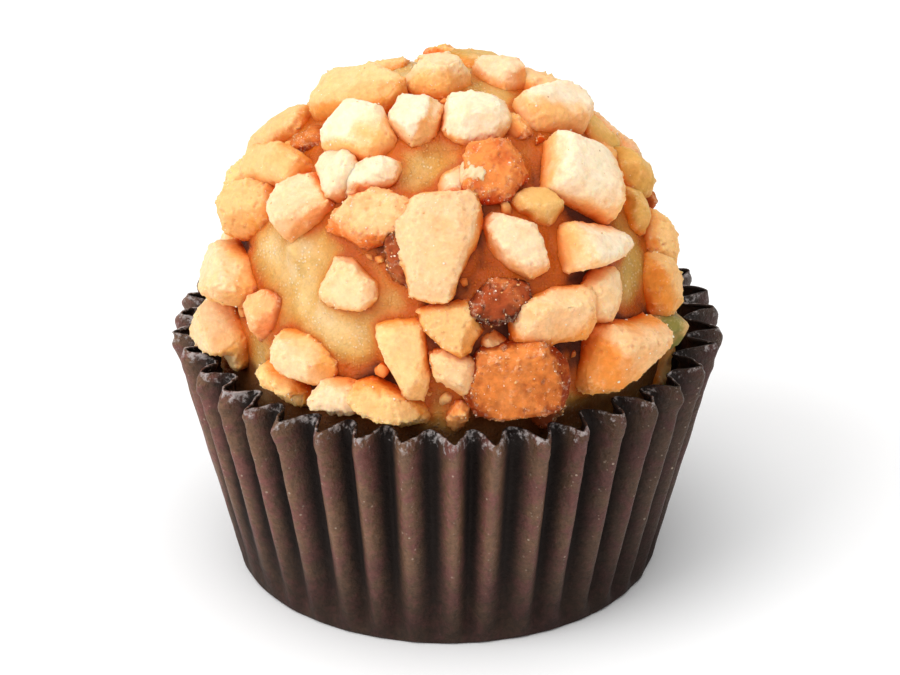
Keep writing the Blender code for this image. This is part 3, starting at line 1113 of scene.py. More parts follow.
class Outline(Enum):
    """The outlines of a nut piece seen from above, in shares of half its length and half its width."""

    BLOCK = ((-0.95, -0.80), (0.85, -1.00), (1.00, 0.75), (0.20, 1.00), (-0.80, 0.90))
    CORNER = ((-1.00, -0.95), (-0.55, -1.00), (1.00, 0.55), (0.95, 0.95), (-0.90, 1.00))
    KITE = ((-1.00, -0.40), (0.55, -1.00), (1.00, -0.70), (1.00, 0.20), (0.45, 1.00), (-0.90, 0.35))
    PEBBLE = (
        (-1.00, -0.10),
        (-0.65, -0.85),
        (0.25, -1.00),
        (0.95, -0.50),
        (0.95, 0.40),
        (0.20, 1.00),
        (-0.70, 0.80),
    )
    SHARD = ((-1.00, -0.10), (-0.20, -1.00), (0.75, -0.80), (1.00, 0.20), (0.10, 1.00))
    SLAB = ((-1.00, -0.45), (-0.55, -1.00), (0.80, -0.85), (1.00, 0.30), (0.40, 1.00), (-0.80, 0.85))
    SPLINTER = ((-1.00, -0.10), (-0.40, -0.90), (0.50, -1.00), (1.00, 0.10), (0.30, 1.00), (-0.55, 0.70))
    TOOTH = ((-1.00, -0.85), (0.70, -1.00), (1.00, -0.45), (0.90, 0.10), (0.10, 1.00), (-0.45, 0.85))
    WEDGE = ((-1.00, -0.90), (0.90, -0.45), (1.00, 0.15), (0.60, 0.55), (-0.85, 1.00))


class Kind(Enum):
    """The four kinds of nut piece, each joined into one piece of the scene."""

    PALE = "pale_nut_pieces"
    CREAM = "cream_nut_pieces"
    GOLDEN = "golden_nut_pieces"
    TOASTED = "toasted_nut_pieces"


class Tone(Enum):
    """How a nut piece is roasted: its kind, its cut face's and its side's colour, and how rough it is."""

    PALE = (Kind.PALE, colour(255, 230, 196), colour(252, 184, 112), 0.9)
    CREAM = (Kind.CREAM, colour(251, 209, 160), colour(247, 172, 92), 1.1)
    SAND = (Kind.CREAM, colour(248, 200, 148), colour(242, 148, 64), 1.2)
    PINK = (Kind.PALE, colour(254, 216, 174), colour(246, 164, 94), 1.0)
    GOLDEN = (Kind.GOLDEN, colour(250, 198, 132), colour(240, 150, 60), 1.3)
    TAN = (Kind.CREAM, colour(250, 200, 138), colour(234, 152, 70), 0.9)
    # OLIVE also serves as painted shade for a piece on the dim right side.
    OLIVE = (Kind.GOLDEN, colour(228, 178, 98), colour(204, 134, 48), 0.7)
    GREEN = (Kind.GOLDEN, colour(150, 138, 70), colour(106, 96, 42), 0.4)
    COATED = (Kind.GOLDEN, colour(238, 188, 114), colour(222, 156, 76), 0.5)
    PEACH = (Kind.TOASTED, colour(250, 196, 138), colour(236, 122, 50), 1.6)
    SALMON = (Kind.TOASTED, colour(252, 188, 130), colour(244, 146, 84), 0.8)
    ORANGE = (Kind.TOASTED, colour(252, 178, 104), colour(230, 108, 30), 1.0)
    RUST = (Kind.TOASTED, colour(248, 150, 76), colour(200, 66, 12), 1.6)
    TOASTED = (Kind.TOASTED, colour(220, 126, 56), colour(138, 48, 8), 1.5)
    DARK = (Kind.TOASTED, colour(176, 80, 38), colour(70, 18, 4), 1.8)

    @property
    def kind(self) -> Kind:
        """The kind of piece that it belongs to."""
        return self.value[0]

    @property
    def face(self) -> Colour:
        """The colour of a freshly cut face."""
        return self.value[1]

    @property
    def side(self) -> Colour:
        """The colour of the roasted outside."""
        return self.value[2]

    @property
    def rough(self) -> float:
        """How broken its surface is."""
        return self.value[3]


class Nut(NamedTuple):
    """One piece of nut: its middle's place in degrees, its sizes in mm, its outline and its tone.

    turn is the slope of its length, in degrees anticlockwise from level, as seen from outside. The last two
    fields say how strongly one side is darker and more orange, from roasting and, on the listed front pieces,
    also as painted shade, and where that side lies, counted as turn is.
    """

    around: float
    down: float
    length: float
    width: float
    rise: float
    turn: float
    outline: Outline
    tone: Tone
    roast_and_shade: float = 0.0
    roast_and_shade_way: float = 0.0

    @property
    def buried(self) -> bool:
        """Whether it lies so low that it only swells the sweet over it."""
        return self.rise < LOWEST_SHOWN_RISE


# The pieces that show from the front, from the top of the sweet down to the rim of the case
PLACED_NUTS = (
    Nut(-35, 4.5, 5.2, 4.8, 2.2, 10, Outline.PEBBLE, Tone.CREAM, 0.6, 280),
    Nut(98, 14, 3.8, 3.0, 1.9, 40, Outline.BLOCK, Tone.PINK, 0.9, 270),
    Nut(19, 20.5, 5.5, 5.2, 2.2, 10, Outline.PEBBLE, Tone.PALE),
    Nut(-21, 21.5, 4.8, 3.5, 2.3, 82, Outline.SLAB, Tone.PALE, 0.3, 0),
    Nut(-82, 23.5, 8.2, 4.6, 2.0, 50, Outline.SLAB, Tone.TAN, 0.6, 350),
    Nut(98, 27, 6.0, 3.6, 1.6, 80, Outline.SLAB, Tone.CREAM, 0.7, 10),
    Nut(45, 26, 3.0, 2.4, 1.2, 0, Outline.PEBBLE, Tone.ORANGE),
    Nut(72, 28.5, 6.6, 3.6, 2.2, -37, Outline.SLAB, Tone.PALE, 1.0, 200),
    Nut(-47, 31, 5.8, 4.4, 2.4, 8, Outline.SLAB, Tone.PALE, 1.0, 325),
    Nut(50, 33, 1.8, 1.5, 1.2, 0, Outline.SHARD, Tone.ORANGE),
    Nut(17, 37, 6.2, 5.0, 2.2, 35, Outline.SHARD, Tone.RUST),
    Nut(3, 38.5, 3.4, 2.2, 1.1, 30, Outline.SPLINTER, Tone.PINK, 0.6, 90),
    Nut(-100, 48, 6.8, 4.4, 1.9, 82, Outline.SLAB, Tone.TAN),
    Nut(-44.5, 41, 4.6, 3.2, 1.8, -38, Outline.SLAB, Tone.PALE),
    Nut(-32, 39.5, 6.2, 2.8, 1.6, 40, Outline.SPLINTER, Tone.PALE),
    # The olive tone of this piece is partly painted shade, on the dim right side.
    Nut(88, 42, 4.8, 3.8, 0.9, 75, Outline.PEBBLE, Tone.OLIVE),
    Nut(54, 45, 6.8, 5.6, 2.7, -42, Outline.BLOCK, Tone.PALE, 0.5, 310),
    Nut(32.5, 47.5, 4.8, 2.6, 1.6, -28, Outline.SPLINTER, Tone.COATED),
    Nut(-76, 50, 8.2, 3.2, 2.3, 30, Outline.SLAB, Tone.TAN, 0.5, 100),
    Nut(-25, 49.5, 7.0, 4.6, 2.2, 20, Outline.SHARD, Tone.PEACH, 0.6, 225),
    Nut(-52, 52.5, 4.9, 4.5, 2.4, 70, Outline.BLOCK, Tone.PINK, 0.5, 10),
    Nut(-92, 60, 4.2, 3.4, 2.4, 60, Outline.PEBBLE, Tone.GOLDEN),
    Nut(84, 54, 4.8, 3.8, 1.8, 80, Outline.PEBBLE, Tone.OLIVE),
    Nut(-3.5, 55, 8.2, 6.8, 2.5, 86, Outline.KITE, Tone.SAND),
    Nut(21.5, 55, 6.2, 4.0, 1.8, -58, Outline.SHARD, Tone.PINK, 0.3, 270),
    Nut(47.5, 61.5, 7.0, 4.0, 2.3, -14, Outline.WEDGE, Tone.PALE, 0.6, 150),
    Nut(-14, 58, 4.6, 2.4, 1.8, -62, Outline.SPLINTER, Tone.DARK, 1.0, 120),
    Nut(-74, 60.5, 5.6, 4.5, 2.7, 70, Outline.PEBBLE, Tone.GOLDEN),
    Nut(-48, 63, 3.6, 3.0, 0.7, 20, Outline.PEBBLE, Tone.COATED),
    Nut(-28, 66, 5.0, 3.6, 1.5, 8, Outline.TOOTH, Tone.CREAM),
    Nut(12.5, 68, 6.2, 3.4, 1.8, 14, Outline.SHARD, Tone.DARK, 0.7, 250),
    Nut(77, 71.5, 5.6, 3.8, 2.0, 84, Outline.PEBBLE, Tone.GOLDEN),
    Nut(44, 72.5, 4.8, 3.9, 1.9, 72, Outline.PEBBLE, Tone.CREAM),
    Nut(-72, 76.5, 7.2, 3.5, 3.1, -5, Outline.SLAB, Tone.CREAM, 0.5, 235),
    Nut(1, 73, 5.2, 4.3, 2.1, -28, Outline.SHARD, Tone.GOLDEN, 0.5, 320),
    Nut(27, 74, 7.0, 3.9, 2.4, 2, Outline.BLOCK, Tone.SAND, 0.6, 270),
    Nut(-54, 81, 4.4, 3.1, 1.9, 75, Outline.PEBBLE, Tone.SALMON),
    Nut(12, 78, 2.4, 2.3, 1.4, 30, Outline.PEBBLE, Tone.CREAM),
    Nut(69, 78.5, 5.4, 3.4, 2.0, 86, Outline.SLAB, Tone.GOLDEN, 0.9, 180),
    Nut(-10, 82, 6.0, 3.9, 1.9, -68, Outline.WEDGE, Tone.TAN, 0.4, 0),
    Nut(-38, 86, 6.4, 3.5, 2.5, -10, Outline.PEBBLE, Tone.CREAM, 0.3, 0),
    Nut(-72, 92, 6.2, 4.2, 3.3, -50, Outline.SLAB, Tone.CREAM, 0.3, 0),
    Nut(3, 84, 5.4, 2.8, 1.9, -36, Outline.SPLINTER, Tone.SAND),
    Nut(67, 89.5, 4.4, 3.4, 2.4, 0, Outline.PEBBLE, Tone.GREEN),
    Nut(17.5, 86.5, 7.6, 6.0, 3.1, 0, Outline.SLAB, Tone.TOASTED, 0.7, 345),
    Nut(-43.5, 94, 5.4, 2.7, 3.0, -20, Outline.SPLINTER, Tone.GOLDEN),
    Nut(47.5, 89, 7.4, 5.3, 3.2, -14, Outline.CORNER, Tone.SAND, 0.9, 215),
    Nut(-27, 93, 4.8, 2.9, 3.0, -4, Outline.SLAB, Tone.PINK),
    Nut(-13.5, 92.5, 6.8, 2.9, 3.2, -24, Outline.SPLINTER, Tone.GOLDEN),
    Nut(73, 60, 4.2, 3.0, 1.4, 70, Outline.PEBBLE, Tone.OLIVE),
    Nut(80, 46, 3.6, 2.0, 0.9, -60, Outline.SPLINTER, Tone.ORANGE),
    # Painted shade: a low dark piece that stands in for the deep shade in the gap here.
    Nut(-76, 38, 4.4, 2.8, 0.9, 70, Outline.SPLINTER, Tone.TOASTED),
    Nut(3, 95, 2.6, 1.9, 2.0, 70, Outline.SPLINTER, Tone.ORANGE),
    # Painted shade: a small dark piece that stands in for a dark shaded gap.
    Nut(26, 97, 3.0, 2.2, 1.3, 40, Outline.WEDGE, Tone.DARK),
    Nut(11, 36.5, 4.4, 2.2, 2.0, 78, Outline.SLAB, Tone.PINK),
)

# The nut pieces, each with its surface
Coat = list[tuple[Nut, Surface]]

BIT_TONES = (Tone.GOLDEN, Tone.TAN, Tone.ORANGE, Tone.PEACH, Tone.CREAM)
# A tone that stands here twice is drawn twice as often
LOOSE_TONES = (
    Tone.CREAM,
    Tone.GOLDEN,
    Tone.GOLDEN,
    Tone.PINK,
    Tone.ORANGE,
    Tone.PALE,
    Tone.OLIVE,
    Tone.TOASTED,
)
# How much of a tone's brightness the pieces have
TONE_SHARE = 0.97


def tone_colours(tone: Tone, tint: Any, count: int) -> dict[str, np.ndarray]:
    """A tone's two colours, held at every point of a piece.

    Args:
        tone: The tone.
        tint: What its colours are multiplied with.
        count: How many points the piece has.

    Returns:
        The colours of its cut faces and of its sides.
    """
    shades = {"face": tone.face, "side": tone.side}
    return {name: np.tile(np.array(shade) * tint, (count, 1)) for name, shade in shades.items()}


def scattered_place(draw: random.Random, lowest: float) -> tuple[float, float]:
    """A place drawn evenly over the sweet: degrees around, and degrees down, as far as the lowest."""
    around = draw.uniform(-180, 180)
    return around, math.degrees(math.acos(draw.uniform(math.cos(math.radians(lowest)), 1)))


@dataclass(frozen=True)
class NutFinish:
    """Chopped roasted nut: a pale grainy cut face, a roasted outside, syrup and painted shade at its foot,
    and deep orange painted shade low in the gaps.
    """

    name: str
    foot_syrup_and_shade: Colour = colour(230, 122, 28)
    gap_shade: Colour = (0.88, 0.33, 0.04)
    deepest_shade: Colour = (0.55, 0.2, 0.06)
    crumb: Colour = colour(255, 234, 200)
    peach: Colour = colour(255, 190, 124)
    pore: Colour = colour(150, 92, 44)
    breaks: Clouds = Clouds(0.5 * MM, 4, 0.65)
    clouds: Clouds = Clouds(1.5 * MM, 3)
    grain: Clouds = Clouds(0.2 * MM, 3, 0.7)
    peachy: Clouds = Clouds(2.4 * MM, 3, 0.6)
    pores: Specks = Specks(0.9 * MM, 0.1, 0.07)
    crumb_size: float = 0.17 * MM
    crumb_radius: float = 0.34
    crumb_share: float = 0.3
    mottle: float = 0.7
    cut_rise: Span = (-0.05, 0.9)
    side_rise: Span = (0.45, 0.75)
    peach_rise: Span = (0.48, 0.68)
    syrup_and_foot_shade_rise: Span = (0.2, 0.95)
    gap_shade_rise: Span = (0.05, 0.85)
    deepest_shade_rise: Span = (0.65, 1.0)
    side_share: float = 0.4
    peach_share: float = 0.4
    syrup_and_foot_shade_share: float = 0.8
    pore_share: float = 0.6
    gap_shade_share: float = 0.8
    deepest_shade_share: float = 0.6
    roughness: float = 0.55
    specular: float = 0.1
    grain_depth: float = 0.07 * MM
    inside: SoftInside = SoftInside(0.45, (1.0, 0.5, 0.2), 0.9 * MM)

    def material(self) -> bpy.types.Material:
        """The finish as a material."""
        graph = Graph(self.name)
        face, side = (graph.attribute(name, "Color") for name in ("face", "side"))
        cut, foot, deep, edge = (graph.attribute(name) for name in ("cut", "foot", "deep", "edge"))
        broken, clouds, grain = (graph.noise(noise) for noise in (self.breaks, self.clouds, self.grain))
        shown = graph.rise(cut + self.mottle * (0.5 * (broken - 0.5) + (clouds - 0.5)), *self.cut_rise)
        base = graph.blend(shown, side, face)
        base = graph.blend(graph.rise(clouds, *self.side_rise) * self.side_share * self.mottle, base, side)
        peach = graph.rise(graph.noise(self.peachy), *self.peach_rise)
        base = graph.blend(peach * self.peach_share, base, self.peach)
        # Partly syrup, partly painted shade: each piece turns deep orange and a little glossier at its foot,
        # where it meets the sweet.
        syrup_and_foot_shade = graph.rise(graph.uneven(foot, broken, 0.35), *self.syrup_and_foot_shade_rise)
        base = graph.blend(syrup_and_foot_shade * self.syrup_and_foot_shade_share, base, self.foot_syrup_and_shade)
        base = graph.blend(graph.specks(self.pores) * self.pore_share, base, self.pore)
        # Painted shade: the pieces turn deep orange low in the gaps between them, and darker still at the
        # bottom of the deepest gaps.
        gap_shade = graph.rise(graph.uneven(deep, broken, 0.25), *self.gap_shade_rise)
        base = graph.tint(gap_shade * self.gap_shade_share, base, self.gap_shade)
        base = graph.tint(graph.rise(deep, *self.deepest_shade_rise) * self.deepest_shade_share, base, self.deepest_shade)
        worn = graph.rise(graph.uneven(edge, broken, 1.2), 0.3, 1.0) * graph.rise(grain, 0.4, 0.65)
        specks = graph.specks(Specks(self.crumb_size, self.crumb_radius, self.crumb_share))
        crumbs = specks * graph.rise(broken, 0.52, 0.64)
        base = graph.blend(0.6 * worn * self.crumb_share + 0.4 * crumbs, base, self.crumb)
        light = 0.9 + 0.06 * graph.rise(grain, 0.34, 0.66) + 0.14 * graph.rise(broken, 0.3, 0.7)
        height = 0.7 * grain + 0.6 * broken + 0.4 * crumbs
        return graph.finish(
            {
                "Base Color": graph.brighten(base, light),
                "Roughness": graph.uneven(self.roughness, broken, 0.2) - 0.2 * syrup_and_foot_shade,
                "Normal": graph.bump(height, self.grain_depth),
                "Specular IOR Level": self.specular,
                **self.inside.inputs(),
            }
        )


NUT_FINISHES = {
    Kind.PALE: NutFinish(
        Kind.PALE.value,
        foot_syrup_and_shade=colour(238, 144, 60),
        gap_shade=(0.9, 0.38, 0.09),
        peach=colour(255, 208, 164),
    ),
    Kind.CREAM: NutFinish(Kind.CREAM.value),
    Kind.GOLDEN: NutFinish(Kind.GOLDEN.value),
    Kind.TOASTED: NutFinish(
        Kind.TOASTED.value,
        foot_syrup_and_shade=colour(176, 76, 18),
        peach=colour(238, 152, 84),
        crumb_share=0.45,
        mottle=1.6,
    ),
}


@dataclass(frozen=True)
class NutCoat:
    """The chopped nut pieces pressed into the sweet. Its sizes are in mm."""

    ball: Ball
    case: PaperCase
    sink: float = 1.1
    foot_spread: float = 0.95
    shoulder_heights: Span = (0.45, 0.75)
    crown_spreads: Span = (0.68, 0.86)
    pebble_spreads: Triple = (0.8, 1.0, 0.64)
    pebble_shoulder: float = 0.4
    corner_shifts: Span = (0.88, 1.06)
    crown_slope: float = 0.28
    crown_drop: float = 0.22
    seed: int = 1000
    loose_seed: int = 23
    loose_tries: int = 5000
    loose_lengths: Span = (2.6, 6.8)
    loose_widths: Span = (0.6, 0.9)
    loose_rises: Span = (0.4, 0.62)
    loose_rise: float = 2.5
    loose_roast_and_shade: Triple = (0.0, 0.4, 0.9)
    edge_rise: float = 0.8
    placed_share: float = 0.2
    lowest: float = 103.0
    crowding: float = 0.4
    placed_voxel: float = 0.14
    loose_voxel: float = 0.26
    gap_sides: int = 96
    gap_reach: float = 1.2
    rounding: int = 3
    pebble_rounding: int = 6
    broad_rounding: int = 10
    edge_rounding: int = 7
    cuts: int = 7
    cut_rises: Span = (0.1, 0.95)
    cut_depths: Span = (0.15, 0.5)
    chipped_corners: int = 3
    chip_sizes: Span = (0.8, 1.9)
    chip_depths: Span = (0.15, 0.45)
    growth: float = 0.15
    lump_height: float = 0.1
    chip_height: float = 0.1
    grit_height: float = 0.055
    lump_sizes: Span = (2.6, 1.2)
    chip_widths: Span = (2.3, 0.8)
    grit_size: float = 0.6
    crumble_size: float = 0.44
    crumble: float = 0.22
    top_room: float = 0.4
    edge_height: float = 0.05
    # Where the painted light on the pieces comes from: up, to the left and to the front.
    bright_way: Triple = (-0.4, -0.3, 0.866)
    shade_shift: float = 0.06
    warm_shift: float = 0.05

    def front_share(self, around: float, down: float) -> float:
        """How much a place on the sweet faces the front.

        Args:
            around: Degrees round from the front, to the right.
            down: Degrees down from the top.

        Returns:
            1 straight on, 0 seen edge on, under 0 behind.
        """
        level = math.sin(math.radians(down)) * math.cos(math.radians(around))
        upright = math.cos(math.radians(down))
        return level * math.cos(CAMERA_TILT) + upright * math.sin(CAMERA_TILT)

    def highest_rise(self, share: float) -> float:
        """The most that a loose piece stands out: near the edge seen from the front, only a little.

        Args:
            share: How much its place faces the front.

        Returns:
            That height, in mm.
        """
        if share >= 0:
            return self.edge_rise
        beyond_edge = self.ball.radius / MM * (1 / math.sqrt(1 - share * share) - 1)
        return min(self.loose_rise, self.edge_rise + beyond_edge)

    def loose_nuts(self) -> list[Nut]:
        """Pieces for where none is listed: the back, and the sides down to below the rim."""
        draw = random.Random(self.loose_seed)
        paint = random.Random(self.loose_seed + 1)
        taken = [(self.ball.seat(nut.around, nut.down).translation, nut.length) for nut in PLACED_NUTS]
        shortest, longest = self.loose_lengths
        found = []
        for attempt in range(self.loose_tries):
            around, down = scattered_place(draw, self.lowest)
            length = longest - (longest - shortest) * attempt / self.loose_tries
            width = length * draw.uniform(*self.loose_widths)
            rise = length * draw.uniform(*self.loose_rises)
            turn = draw.uniform(0, 180)
            outline = draw.choice(list(Outline))
            share = self.front_share(around, down)
            middle = self.ball.seat(around, down).translation
            clear = all(
                (middle - other).length > self.crowding * MM * (length + other_length)
                for other, other_length in taken
            )
            if clear and share < self.placed_share:
                taken.append((middle, length))
                tone = paint.choice(LOOSE_TONES)
                roast_and_shade = paint.choice(self.loose_roast_and_shade)
                size = (length, width, min(rise, self.highest_rise(share)))
                found.append(Nut(around, down, *size, turn, outline, tone, roast_and_shade, paint.uniform(0, 360)))
        return found

    def corners(self, nut: Nut, draw: random.Random) -> list[Vector]:
        """The corners of one piece in its own frame: those of its foot, its shoulder and its crown.

        Args:
            nut: The piece.
            draw: The numbers that its unevenness is drawn from.

        Returns:
            The corners, in mm.
        """
        slope_x = draw.uniform(-self.crown_slope, self.crown_slope)
        slope_y = draw.uniform(-self.crown_slope, self.crown_slope)
        shoulder = draw.uniform(*self.shoulder_heights) * nut.rise
        spreads = (self.foot_spread, 1.0, draw.uniform(*self.crown_spreads))
        if nut.outline is Outline.PEBBLE:
            shoulder = self.pebble_shoulder * nut.rise
            spreads = self.pebble_spreads
        found = []
        for height, spread in zip((-self.sink, shoulder, nut.rise), spreads):
            for x, y in nut.outline.value:
                x *= spread * draw.uniform(*self.corner_shifts)
                y *= spread * draw.uniform(*self.corner_shifts)
                drop = draw.uniform(0, self.crown_drop)
                lift = height * (slope_x * x + slope_y * y - drop) if height > 0 else 0.0
                found.append(Vector((x * nut.length / 2, y * nut.width / 2, height + lift)))
        return found

    def raw_piece(self, index: int, nut: Nut, voxel: float, cutter: bpy.types.Object) -> bpy.types.Object:
        """One piece as a plain hull in its place, in mm, with its mesh made fine and cut clear of the case.

        Args:
            index: Its number, which seeds its shape.
            nut: The piece.
            voxel: How fine its mesh is, in mm.
            cutter: What lies outside the space that the pieces may fill.

        Returns:
            A helper object.
        """
        shape = bmesh.new()
        for corner in self.corners(nut, random.Random(self.seed + index)):
            shape.verts.new(corner)
        hull = bmesh.ops.convex_hull(shape, input=shape.verts)
        inner = [item for item in hull["geom_interior"] if isinstance(item, bmesh.types.BMVert)]
        bmesh.ops.delete(shape, geom=inner, context="VERTS")
        shape.transform(self.place(nut))
        lowest = min(vertex.co.z for vertex in shape.verts)
        raw = helper(f"raw_nut_{index:03d}", shape)
        if lowest < (self.case.height + RIM_CLEARANCE) / MM:
            trim = raw.modifiers.new("Trim", "BOOLEAN")
            trim.operation = "DIFFERENCE"
            trim.object = cutter
        fine = raw.modifiers.new("Fine", "REMESH")
        fine.mode = "VOXEL"
        fine.voxel_size = voxel
        return raw

    def place(self, nut: Nut) -> Matrix:
        """The frame of a piece, in mm: X along its length, Z outwards.

        Args:
            nut: The piece.

        Returns:
            The frame.
        """
        there = self.ball.seat(nut.around, nut.down)
        there.translation = there.translation / MM
        return there @ Matrix.Rotation(math.radians(nut.turn), 4, "Z")

    def case_gap(self) -> bpy.types.Object:
        """A cutter, in mm: all that is outside the grooves' inner line."""
        outside = self.gap_reach * self.case.rim_radius / MM
        top = (self.case.height + RIM_CLEARANCE) / MM
        heights = (0.0, self.case.height / 2, self.case.height)
        radii = [self.case.inner_radius(height) / MM for height in heights]
        levels = [0.0, self.case.height / 2 / MM, top]
        profile = [(outside, 0.0), *zip(radii, levels), (outside, top)]
        turns = [math.tau * side / self.gap_sides for side in range(self.gap_sides)]
        shape = bmesh.new()
        rings = [
            [shape.verts.new((radius * math.sin(turn), -radius * math.cos(turn), height)) for turn in turns]
            for radius, height in profile
        ]
        for ring, after in zip(rings, rings[1:] + rings[:1]):
            for side in range(self.gap_sides):
                beside = (side + 1) % self.gap_sides
                shape.faces.new((ring[side], ring[beside], after[beside], after[side]))
        return helper("case_gap", shape)

    def way(self, draw: np.random.Generator) -> np.ndarray:
        """A direction in a piece's own frame, drawn at random, outwards and a little up.

        Args:
            draw: The numbers that it is drawn from.

        Returns:
            The direction, of length 1.
        """
        turn, rise = draw.uniform(0, math.tau), draw.uniform(*self.cut_rises)
        level = math.sqrt(1 - rise * rise)
        return np.array([level * math.cos(turn), level * math.sin(turn), rise])

    def chopped(self, index: int, points: np.ndarray, place: np.ndarray) -> np.ndarray:
        """The points of one piece after some flat cuts across its edges and some hollow chips.

        Args:
            index: Its number, which seeds the cuts.
            points: Its points, in mm.
            place: Its frame, in mm.

        Returns:
            The points after the cuts.
        """
        draw = np.random.default_rng(self.seed * 3 + index)
        local = (points - place[:3, 3]) @ place[:3, :3]
        for _ in range(self.cuts):
            way = self.way(draw)
            reach = local @ way
            beyond = np.maximum(reach - reach.max() + draw.uniform(*self.cut_depths), 0)
            local = local - beyond[:, None] * way
        for _ in range(self.chipped_corners):
            way = self.way(draw)
            size = draw.uniform(*self.chip_sizes)
            middle = local[np.argmax(local @ way)] + way * (size - draw.uniform(*self.chip_depths))
            away = local - middle
            distance = np.maximum(np.linalg.norm(away, axis=1), TINY)
            local = local + away * np.maximum(size / distance - 1, 0)[:, None]
        return local @ place[:3, :3].T + place[:3, 3]

    def raised(self, points: np.ndarray, grain: Grain, rough: float) -> np.ndarray:
        """How far lumps, chips and grit push each point out.

        Args:
            points: The points, in mm.
            grain: The noise that they are read from.
            rough: How broken the nut's surface is.

        Returns:
            The pushes, in mm.
        """
        chip = self.chip_height * rough
        broad, fine = self.lump_sizes
        wide, narrow = self.chip_widths
        push = self.growth + self.lump_height * grain.lumps(points, broad)
        push += self.lump_height / 2 * grain.lumps(points + 7, fine)
        push += chip * grain.chips(points, wide) + chip / 2 * grain.chips(points + 5, narrow)
        return push + self.grit_height * rough * grain.layers(points, self.grit_size)

    def worked(self, index: int, nut: Nut, mesh: bpy.types.Mesh) -> Surface:
        """One piece with rounded edges, chipped faces and its colours.

        Args:
            index: Its number, which seeds its chips.
            nut: The piece.
            mesh: Its fine plain mesh, in mm.

        Returns:
            Its surface, in metres.
        """
        points = np.empty(len(mesh.vertices) * 3)
        mesh.vertices.foreach_get("co", points)
        quads = np.empty(len(mesh.loops), int)
        mesh.loops.foreach_get("vertex_index", quads)
        points, quads = points.reshape(-1, 3), quads.reshape(-1, 4)
        rounds = self.pebble_rounding if nut.outline is Outline.PEBBLE else self.rounding
        place = np.array(self.place(nut))
        points = self.chopped(index, smoothed(points, quads, rounds), place)
        normals = point_normals(points, quads)
        broad = point_normals(smoothed(points, quads, self.broad_rounding), quads)
        grain = Grain(self.seed + index)
        rough = nut.tone.rough
        points = points + normals * self.raised(points, grain, rough)[:, None]
        soft_top = CAD_BOX[1][2] / MM - self.top_room
        above = np.maximum(points[:, 2] - soft_top, 0)
        points[:, 2] += self.top_room * np.tanh(above / self.top_room) - above
        stands_out = np.sum((points - smoothed(points, quads, self.edge_rounding)) * normals, axis=1)
        edge = np.clip(stands_out / self.edge_height, -1, 1)
        grit = grain.layers(points + 11, self.crumble_size)
        crumbled = self.crumble * rough * np.maximum(edge, 0) * (0.5 + grit)
        points = points - normals * crumbled[:, None]
        values = {
            **tone_colours(nut.tone, self.tint(index), len(points)),
            "cut": self.cut_share(index, nut, points, broad, grain),
            "foot": 1 - smooth_step(-0.1, 1.2, self.ball.height_over(points * MM) / MM),
            "edge": edge,
        }
        return Surface(points * MM, quads, NO_FACES, values)

    def tint(self, index: int) -> np.ndarray:
        """What a piece's colours are multiplied with, so that no two pieces are quite alike.

        Args:
            index: Its number.

        Returns:
            A number each for red, green and blue.
        """
        shift = random.Random(self.seed * 2 + index)
        shade = 1 + self.shade_shift * shift.uniform(-1, 1)
        warm = 1 + self.warm_shift * shift.uniform(-1, 1)
        return TONE_SHARE * np.array([shade, shade * warm, shade * warm * warm])

    def cut_share(
        self,
        index: int,
        nut: Nut,
        points: np.ndarray,
        broad: np.ndarray,
        grain: Grain,
    ) -> np.ndarray:
        """How much of the pale cut face shows at each point of a piece, partly as painted light: more of it
        where the piece faces up, stands high and faces bright_way.

        Args:
            index: Its number.
            nut: The piece.
            points: Its points, in mm.
            broad: Which way the piece faces there, without its chips.
            grain: The noise that its patches are read from.

        Returns:
            Shares from 0, all roasted outside, to 1.
        """
        place = np.array(self.place(nut))
        local = (points - place[:3, 3]) @ place[:3, :3]
        facing = broad @ place[:3, :3]
        turn = math.radians(nut.roast_and_shade_way - nut.turn)
        way = np.array([math.cos(turn), math.sin(turn), 0.0])
        half = np.array([nut.length / 2, nut.width / 2, 1.0])
        reach = (local / half) @ way + 0.7 * (facing @ way)
        # Roasting, and on the listed front pieces also painted shade: one side of the piece is darker and
        # more orange.
        roast_and_shade = nut.roast_and_shade * smooth_step(-0.3, 1.5, reach + 0.5 * grain.layers(points + 3, 1.6))
        height = np.clip(local[:, 2] / nut.rise, 0, 1.2)
        patches = 0.25 * grain.lumps(facing * 1.3 + index, 1.0) + 0.25 * grain.lumps(points, 1.8)
        # Painted light: the side that faces bright_way keeps more of the pale face, and the rest shows more
        # of the roasted side colour.
        lit = smooth_step(-0.6, 0.7, broad @ np.array(self.bright_way))
        cut = smooth_step(-0.1, 1.0, 0.55 * facing[:, 2] + 0.5 * height + patches)
        return np.clip(cut * (0.5 + 0.5 * lit) - roast_and_shade, 0, 1)

    def shaped(self) -> Coat:
        """Every nut piece with its surface."""
        cutter = self.case_gap()
        nuts = [*PLACED_NUTS, *self.loose_nuts()]
        raws = []
        for index, nut in enumerate(nuts):
            voxel = self.placed_voxel if index < len(PLACED_NUTS) else self.loose_voxel
            raws.append(self.raw_piece(index, nut, voxel, cutter))
        graph = bpy.context.evaluated_depsgraph_get()
        made = []
        for index, (nut, raw) in enumerate(zip(nuts, raws)):
            if not nut.buried:
                made.append((nut, self.worked(index, nut, raw.evaluated_get(graph).data)))
        for item in [*raws, cutter]:
            bpy.data.objects.remove(item, do_unlink=True)
        return made

    def build(self, coat: Coat, relief: Relief) -> None:
        """Adds the nut pieces to the scene, joined by kind.

        Args:
            coat: The nut pieces.
            relief: The height of the coat, for the painted shade in its gaps.
        """
        for kind, finish in NUT_FINISHES.items():
            surface = joined([surface for nut, surface in coat if nut.tone.kind is kind])
            surface.values["deep"] = relief.depth(surface.points)
            new_piece(kind.value, surface, finish.material())


